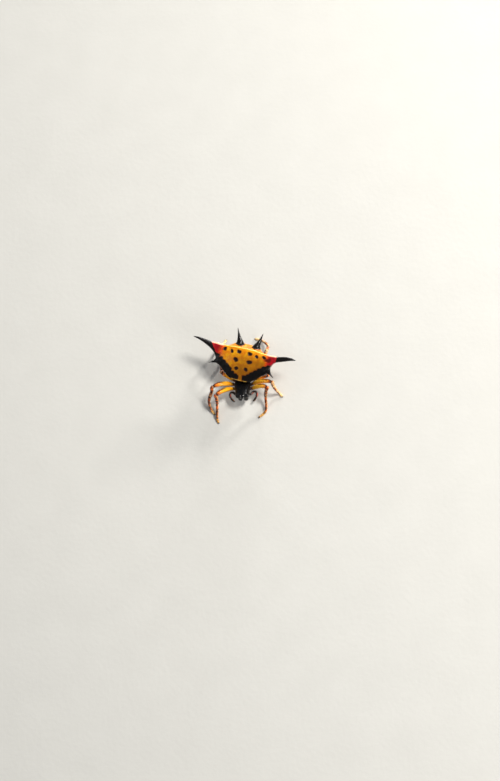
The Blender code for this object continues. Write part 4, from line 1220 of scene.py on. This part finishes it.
# The knee, the ankle, the foot and the toe of each leg, from the carapace's middle
LEGS = {
    "leg_1_right": ((-4.30, -0.85, 3.62), (-4.50, -1.90, 1.55), (-4.67, -4.10), (-4.48, -4.87)),
    "leg_2_right": ((-4.81, 0.63, 3.62), (-5.92, -1.35, 1.55), (-5.68, -2.60), (-5.14, -3.34)),
    "leg_3_right": ((-3.45, 3.27, 2.50), (-3.84, 4.78, 1.30), (-3.75, 5.60), (-3.60, 6.20)),
    "leg_4_right": ((-3.20, 4.60, 2.25), (-4.60, 7.35, 1.80), (-3.75, 8.95), (-3.20, 9.85)),
    "leg_1_left": ((4.29, 0.15, 3.62), (3.84, -1.02, 1.55), (3.72, -3.09), (2.44, -4.17)),
    "leg_2_left": ((5.06, 1.03, 3.70), (5.59, 0.19, 1.80), (6.05, -0.12), (6.49, -0.65)),
    "leg_3_left": ((4.20, 2.45, 2.55), (3.84, 3.94, 1.30), (3.55, 4.90), (3.20, 5.50)),
    "leg_4_left": ((3.10, 4.60, 2.25), (4.28, 7.93, 1.80), (3.01, 9.40), (1.84, 9.88)),
}
# Radius along a leg, by joint number: 0 root, 1 hip, 2 knee, 3 knee's end, 4 ankle, 5 foot, 6 toe
leg_radius = through(
    (0, 0.25), (0.35, 0.26), (0.7, 0.24), (1.0, 0.28), (1.35, 0.38), (1.7, 0.37), (1.93, 0.28),
    (2.0, 0.26), (2.12, 0.285), (2.5, 0.305), (2.9, 0.275), (3.0, 0.26), (3.3, 0.29), (3.7, 0.275),
    (3.93, 0.235), (4.0, 0.225), (4.2, 0.235), (4.7, 0.22), (4.95, 0.195), (5.0, 0.185),
    (5.3, 0.195), (5.8, 0.17), (6.0, 0.145),
)
SEGMENT_STEPS, ROOT_STEPS, LEG_SIDES, BEND_EASING = 40, 10, 30, 60
# How tightly a leg's middle line rounds its joints, and how coarse its own lumps are
JOINT_SWING = 0.4125
LUMP_HEIGHT, LUMP_SIZE, LUMP_SEED = 0.006, 0.4, 30
# How far the colours of one leg stand off the next one's
COLOUR_SHIFT = 3.7
# How much each leg fades to cream beyond its knee, and how much painted light brightens its thigh
PALE = {
    "leg_1_right": 0.15, "leg_2_right": 0.35, "leg_3_right": 0.4, "leg_4_right": 0.7,
    "leg_1_left": 0.15, "leg_2_left": 0.5, "leg_3_left": 0.4, "leg_4_left": 0.5,
}
PAINTED_THIGH_LIGHT = {"leg_1_left": 0.75, "leg_2_left": 0.6}
# Where a soft joint draws the leg in, by joint number
SOFT_JOINTS = (0.72, 1.0, 2.0, 2.98, 4.0, 5.0)


def leg_joints(name):
    """The root, hip, knee, knee's end, ankle, foot and toe of a leg."""
    number, side = int(name[4]), 1 if name.endswith("left") else -1
    knee, ankle, foot, toe = (np.array(p) for p in LEGS[name])
    foot, toe = np.append(foot, FOOT_HEIGHT), np.append(toe, TOE_HEIGHT)
    heading, angle = math.radians(ROOT_HEADING[number]), math.radians(ROOT_ANGLE[number])
    ahead = np.array((side * math.cos(heading), math.sin(heading), 0.0))
    out = np.array((math.cos(angle) / CORE_HALF_WIDTH, math.sin(angle) / CORE_HALF_LENGTH))
    out *= ROOT_GAP / np.linalg.norm(out)
    root_x = side * (CORE_HALF_WIDTH * math.cos(angle) + out[0])
    root_y = CORE_MIDDLE_Y + CORE_HALF_LENGTH * math.sin(angle) + out[1]
    root = np.array((root_x, root_y, ROOT_HEIGHT))
    hip = root + ahead * COXA_LENGTH + (0, 0, COXA_RISE)
    shin = mix(knee, ankle, SHIN_SHARE) + (0, 0, SHIN_ARCH)
    return [root, hip, knee, shin, ankle, foot, toe], ahead


def leg_path(name):
    """Points along a leg's middle, with the joint number that each stands at."""
    joints, ahead = leg_joints(name)
    knots = [2 * joints[0] - joints[1], *joints, 2 * joints[-1] - joints[-2]]
    t = np.linspace(0, 1, SEGMENT_STEPS, endpoint=False)[:, None]
    sunk = np.linspace(-ROOT_SUNK, 0, ROOT_STEPS, endpoint=False)[:, None]
    path, numbers = [joints[0] + sunk * ahead], [0 * sunk[:, 0]]
    for i in range(len(joints) - 1):
        a, b, c, d = knots[i : i + 4]
        stretch = sweep(b, c, JOINT_SWING * (c - a), JOINT_SWING * (d - b), t)
        if i == 1:
            stretch = stretch + np.array(FEMUR_ARCH[int(name[4])]) * np.sin(math.pi * t)
        path.append(stretch)
        numbers.append(i + t[:, 0])
    path, numbers = np.vstack((*path, joints[-1:])), np.concatenate((*numbers, [6.0]))
    return placed(path), numbers


def leg_tube(name, order):
    """A leg's rings, drawn in at its soft joints and swelling a little before each."""
    path, number = leg_path(name)
    run, radius = run_along(path), leg_radius(number)
    for joint in SOFT_JOINTS:
        past = run - np.interp(joint, number + 1e-6 * run, run)
        swelling = 0.05 * hump(past + 0.15, 0.09) + 0.03 * hump(past - 0.14, 0.08)
        radius = radius * (1 - 0.17 * hump(past, 0.055) + swelling)
    radius[:ROOT_STEPS] = np.minimum(radius[:ROOT_STEPS], ROOT_RADIUS)
    rings = tube(path, radius, LEG_SIDES, BEND_EASING)
    rings = raised_by(rings, LUMP_HEIGHT * ripple(rings, LUMP_SIZE, LUMP_SEED + order))
    rings[..., 2] = np.maximum(rings[..., 2], 0.0)
    ahead, _, _ = frames_along(path, BEND_EASING)
    facing = (rings - path[:, None]) / (radius[:, None, None] + 1e-6)
    hairy = 0.55 + 0.45 * smoothstep(1.8, 3.5, number) + 0.5 * smoothstep(4.9, 5.3, number)
    fields = {
        "joint": number[:, None],
        "above": np.clip(facing[..., 2], -1, 1),
        "hairy": hairy[:, None],
        "lie": np.broadcast_to(ahead[:, None], rings.shape),
        "fore": -facing[..., 1],
        "leftward": facing[..., 0],
        "pale": PALE[name],
        "light": PAINTED_THIGH_LIGHT.get(name, 0.0),
        "shift": order * COLOUR_SHIFT,
    }
    tip = path[-1] + (path[-1] - path[-2]) * TOE_TIP
    return {"rings": rings, "fields": fields, "last": np.array((*tip[:2], max(tip[2], TIP_HEIGHT)))}


# The colours along a leg, by joint number
LEG_RINGS = (
    (0.0, "1E0E08"), (0.55, "3A1A0A"), (0.74, "1C0C07"), (0.80, "A8580F"), (0.97, "5A2A0C"),
    (1.03, "C9780F"), (1.15, "F2AC14"), (1.55, "FBB81A"), (1.74, "F08A10"), (1.86, "C04A0A"),
    (1.91, "220D07"), (2.05, "2A100A"), (2.14, "C4500C"), (2.45, "DA600E"), (2.72, "A83C0A"),
    (2.87, "220C07"), (3.06, "2A100A"), (3.14, "D0600E"), (3.36, "DA5C0E"), (3.43, "2A0F08"),
    (3.63, "2E1109"), (3.69, "D6560C"), (3.86, "B8440C"), (3.93, "200C07"), (4.06, "2A110A"),
    (4.14, "CE540E"), (4.42, "DC6C14"), (4.49, "2C1109"), (4.72, "2C1109"), (4.79, "DA721A"),
    (4.94, "6A2C10"), (5.10, "D9902E"),
)
FOOT_CREAM, TOE_BROWN, TOE_DARK, ORANGE, MAROON = "F2D48A", "4A2412", "1C0C08", "E8640E", "350903"
HONEY, OCHRE, PEACH_HIGHLIGHT, SAND, CREAM = "FFC040", "D27A0A", "F4B26C", "F0B070", "FBE0A8"
STREAK, LEG_SPOT, BELOW, PAINTED_GLINT = "4E1203", "3A1006", "8A3A0C", "F2A040"
LEG_HAIR, LEG_HAIR_DARK, FOOT_HAIR = "3A1D0E", "150B08", "A98A5E"

leg_shell, wire = finish("leg_shell")
cloud, fine = wire.noise(0.5, 3.0), wire.noise(0.14, 3.0)
number, above, fore, leftward, pale, light, shift = (
    wire.field(name) for name in ("joint", "above", "fore", "leftward", "pale", "light", "shift")
)
joint = number + 0.10 * (wire.noise(0.35, 2.0) - 0.5)
stops = [(at / 6, code) for at, code in LEG_RINGS]
ringed = wire.node("ShaderNodeValToRGB", {"stops": stops}, {"Fac": joint * (1 / 6)})
# The run is cloudy noise drawn out along the leg
drawn_out = wire.node("ShaderNodeCombineXYZ", sockets={"X": 1.9 * number + shift, "Y": above, "Z": fore})
run = wire.node("ShaderNodeTexNoise", sockets={"Vector": drawn_out, "Scale": 1.5, "Detail": 3.0})
beyond = number.step(1.9, 2.3)
shank = beyond * number.step(5.2, 4.9)
feet = number.step(4.9, 5.2) * number.step(5.75, 5.55)
pale_foot = wire.blend(ringed, FOOT_CREAM, joint.step(5.2, 5.5) * (0.1 + 1.4 * pale))
footed = wire.blend(pale_foot, wire.blend(TOE_BROWN, TOE_DARK, cloud), joint.step(5.75, 5.95))
broken = wire.blend(footed, ORANGE, 0.7 * (wire.noise(0.42, 2.0).step(0.54, 0.61) * shank))
wave = wire.maths("SINE", 13.0 * joint + shift)
# The minus leftward term puts more maroon on each leg's -x side, a painted shade; the ridges themselves are
# the leg's own pattern.
ridge = (wave + 2.6 * (run - 0.5) - 0.8 * leftward).step(-0.30, 0.0)
ridge = ridge * (shank * (1 - 0.6 * pale) + feet * (1.0 - 2 * pale))
ridged = wire.blend(broken, MAROON, 0.92 * ridge)
thigh = number.step(0.9, 1.15) * number.step(1.95, 1.7)
# painted light: the thighs of the front two left legs are lightened towards honey yellow
lit = wire.blend(ridged, HONEY, light * thigh * (0.5 + 0.5 * cloud))
lengthwise = run.step(0.46, 0.56) * number.step(1.0, 1.2) * number.step(2.0, 1.8)
veined = wire.blend(lit, OCHRE, 0.6 * lengthwise * (1 - 0.6 * light))
# painted highlight: the +x side of each shank turns peach, as if lit from that side
highlight_side = (leftward + 0.9 * (run - 0.5)).step(0.55, 0.75) * shank
edged = wire.blend(veined, PEACH_HIGHLIGHT, 0.85 * highlight_side)
# The cream beyond the knee is the legs' own colour; on leg_2_left it is partly a painted highlight.
cream = (cloud + 0.36 * pale).step(0.64, 0.70) * beyond * above.step(-0.3, 0.5)
faded = wire.blend(edged, wire.blend(SAND, CREAM, pale.step(0.1, 0.8)), 0.85 * cream * (1 - 0.8 * ridge))
rear = fore + 0.9 * (run - 0.5)
streak = rear.step(-0.20, -0.40) * rear.step(-0.95, -0.80) * number.step(1.35, 1.60)
streaked = wire.blend(faded, STREAK, 0.9 * (streak * number.step(2.6, 2.2) * pale.step(0.7, 0.4)))
spots = wire.noise(0.26, 1.5).step(0.59, 0.64) * number.step(1.2, 1.8) * number.step(5.2, 4.8)
spotted = wire.blend(streaked, LEG_SPOT, 0.9 * spots)
shaded = wire.blend(spotted, BELOW, 0.35 * above.step(0.1, -0.9) * joint.step(5.1, 4.9))
# painted glints: small pale orange flecks from the thigh outwards
surface(
    wire,
    Base_Color=wire.blend(shaded, PAINTED_GLINT, 0.10 * fine.step(0.5, 0.75) * joint.step(1.0, 1.2)),
    Roughness=0.32 + 0.14 * cloud,
    Coat_Weight=0.15 + 0.15 * fine,
    Coat_Roughness=0.15,
    Specular_IOR_Level=0.25,
    Subsurface_Weight=0.03,
    Subsurface_Radius=(0.4, 0.16, 0.06),
    Subsurface_Scale=0.0004,
    Normal=wire.raised(0.006 * fine + 0.004 * wire.pits(0.07)),
)
leg_tubes = {name: leg_tube(name, order) for order, name in enumerate(LEGS)}
for name, part in leg_tubes.items():
    dress(join_tubes(name + "_skin", [part], leg_shell), "leg_shell", name)
hair_ground = join_tubes("leg_ground", list(leg_tubes.values()))
leg_bristle, wire = finish("leg_bristle")
surface(
    wire,
    Base_Color=wire.blend(
        wire.blend(LEG_HAIR, LEG_HAIR_DARK, wire.noise(0.4)), FOOT_HAIR, wire.field("joint").step(4.9, 5.2)
    ),
    Roughness=0.35 + 0.15 * wire.noise(0.3),
)
grow(
    "leg_hairs", hair_ground, "leg_shell", leg_bristle,
    per_mm2=34, length=0.24, width=0.007, lean=0.62, curl=0.3, seed=17,
)
grow("leg_bristles", hair_ground, "leg_shell", leg_bristle, per_mm2=3, length=0.5, width=0.014, seed=19)
bpy.data.objects.remove(hair_ground)

# Claws. Each foot ends in a pair of small dark hooks of solid horn, side by side, and a third, smaller
# one between them.
CLAW_STEPS, CLAW_SIDES, CLAW_SPREAD = 20, 12, 0.07
# The length and thickness of a claw at the side and in the middle, and how far the middle one is down
SIDE_CLAW, MIDDLE_CLAW, MIDDLE_DROP = (0.20, 0.034), (0.12, 0.026), 0.02
# A claw's route from the toe: shares of its spread, distance ahead, shares of its length, and height
CLAW_ROUTE = ((0.6, -0.06, 0.0, 0.03), (1, 0, 0.4, 0.04), (1.2, 0, 0.85, -0.01), (1.2, 0, 1.0, -0.07))


def claw(toe, ahead, spread, length, width):
    """A hook that tapers to a point, off the toe's middle by a spread."""
    flat = np.array((ahead[0], ahead[1], 0.0)) / np.hypot(*ahead[:2])
    across = np.array((-flat[1], flat[0], 0.0)) * spread
    points = [
        toe + across * aside + flat * (start + length * share) + (0, 0, rise)
        for aside, start, share, rise in CLAW_ROUTE
    ]
    return along_tube(points, lambda t: width * (1 - t) ** 0.7 + 0.003, CLAW_STEPS, CLAW_SIDES)


claws = []
for name in LEGS:
    path, _ = leg_path(name)
    ahead = path[-1] - path[-4]
    claws += [claw(path[-1], ahead, side * CLAW_SPREAD, *SIDE_CLAW) for side in (-1, 1)]
    claws.append(claw(path[-1] - (0, 0, MIDDLE_DROP), ahead, 0.0, *MIDDLE_CLAW))
dress(join_tubes("claws", claws, claw_horn), "leg_shell")
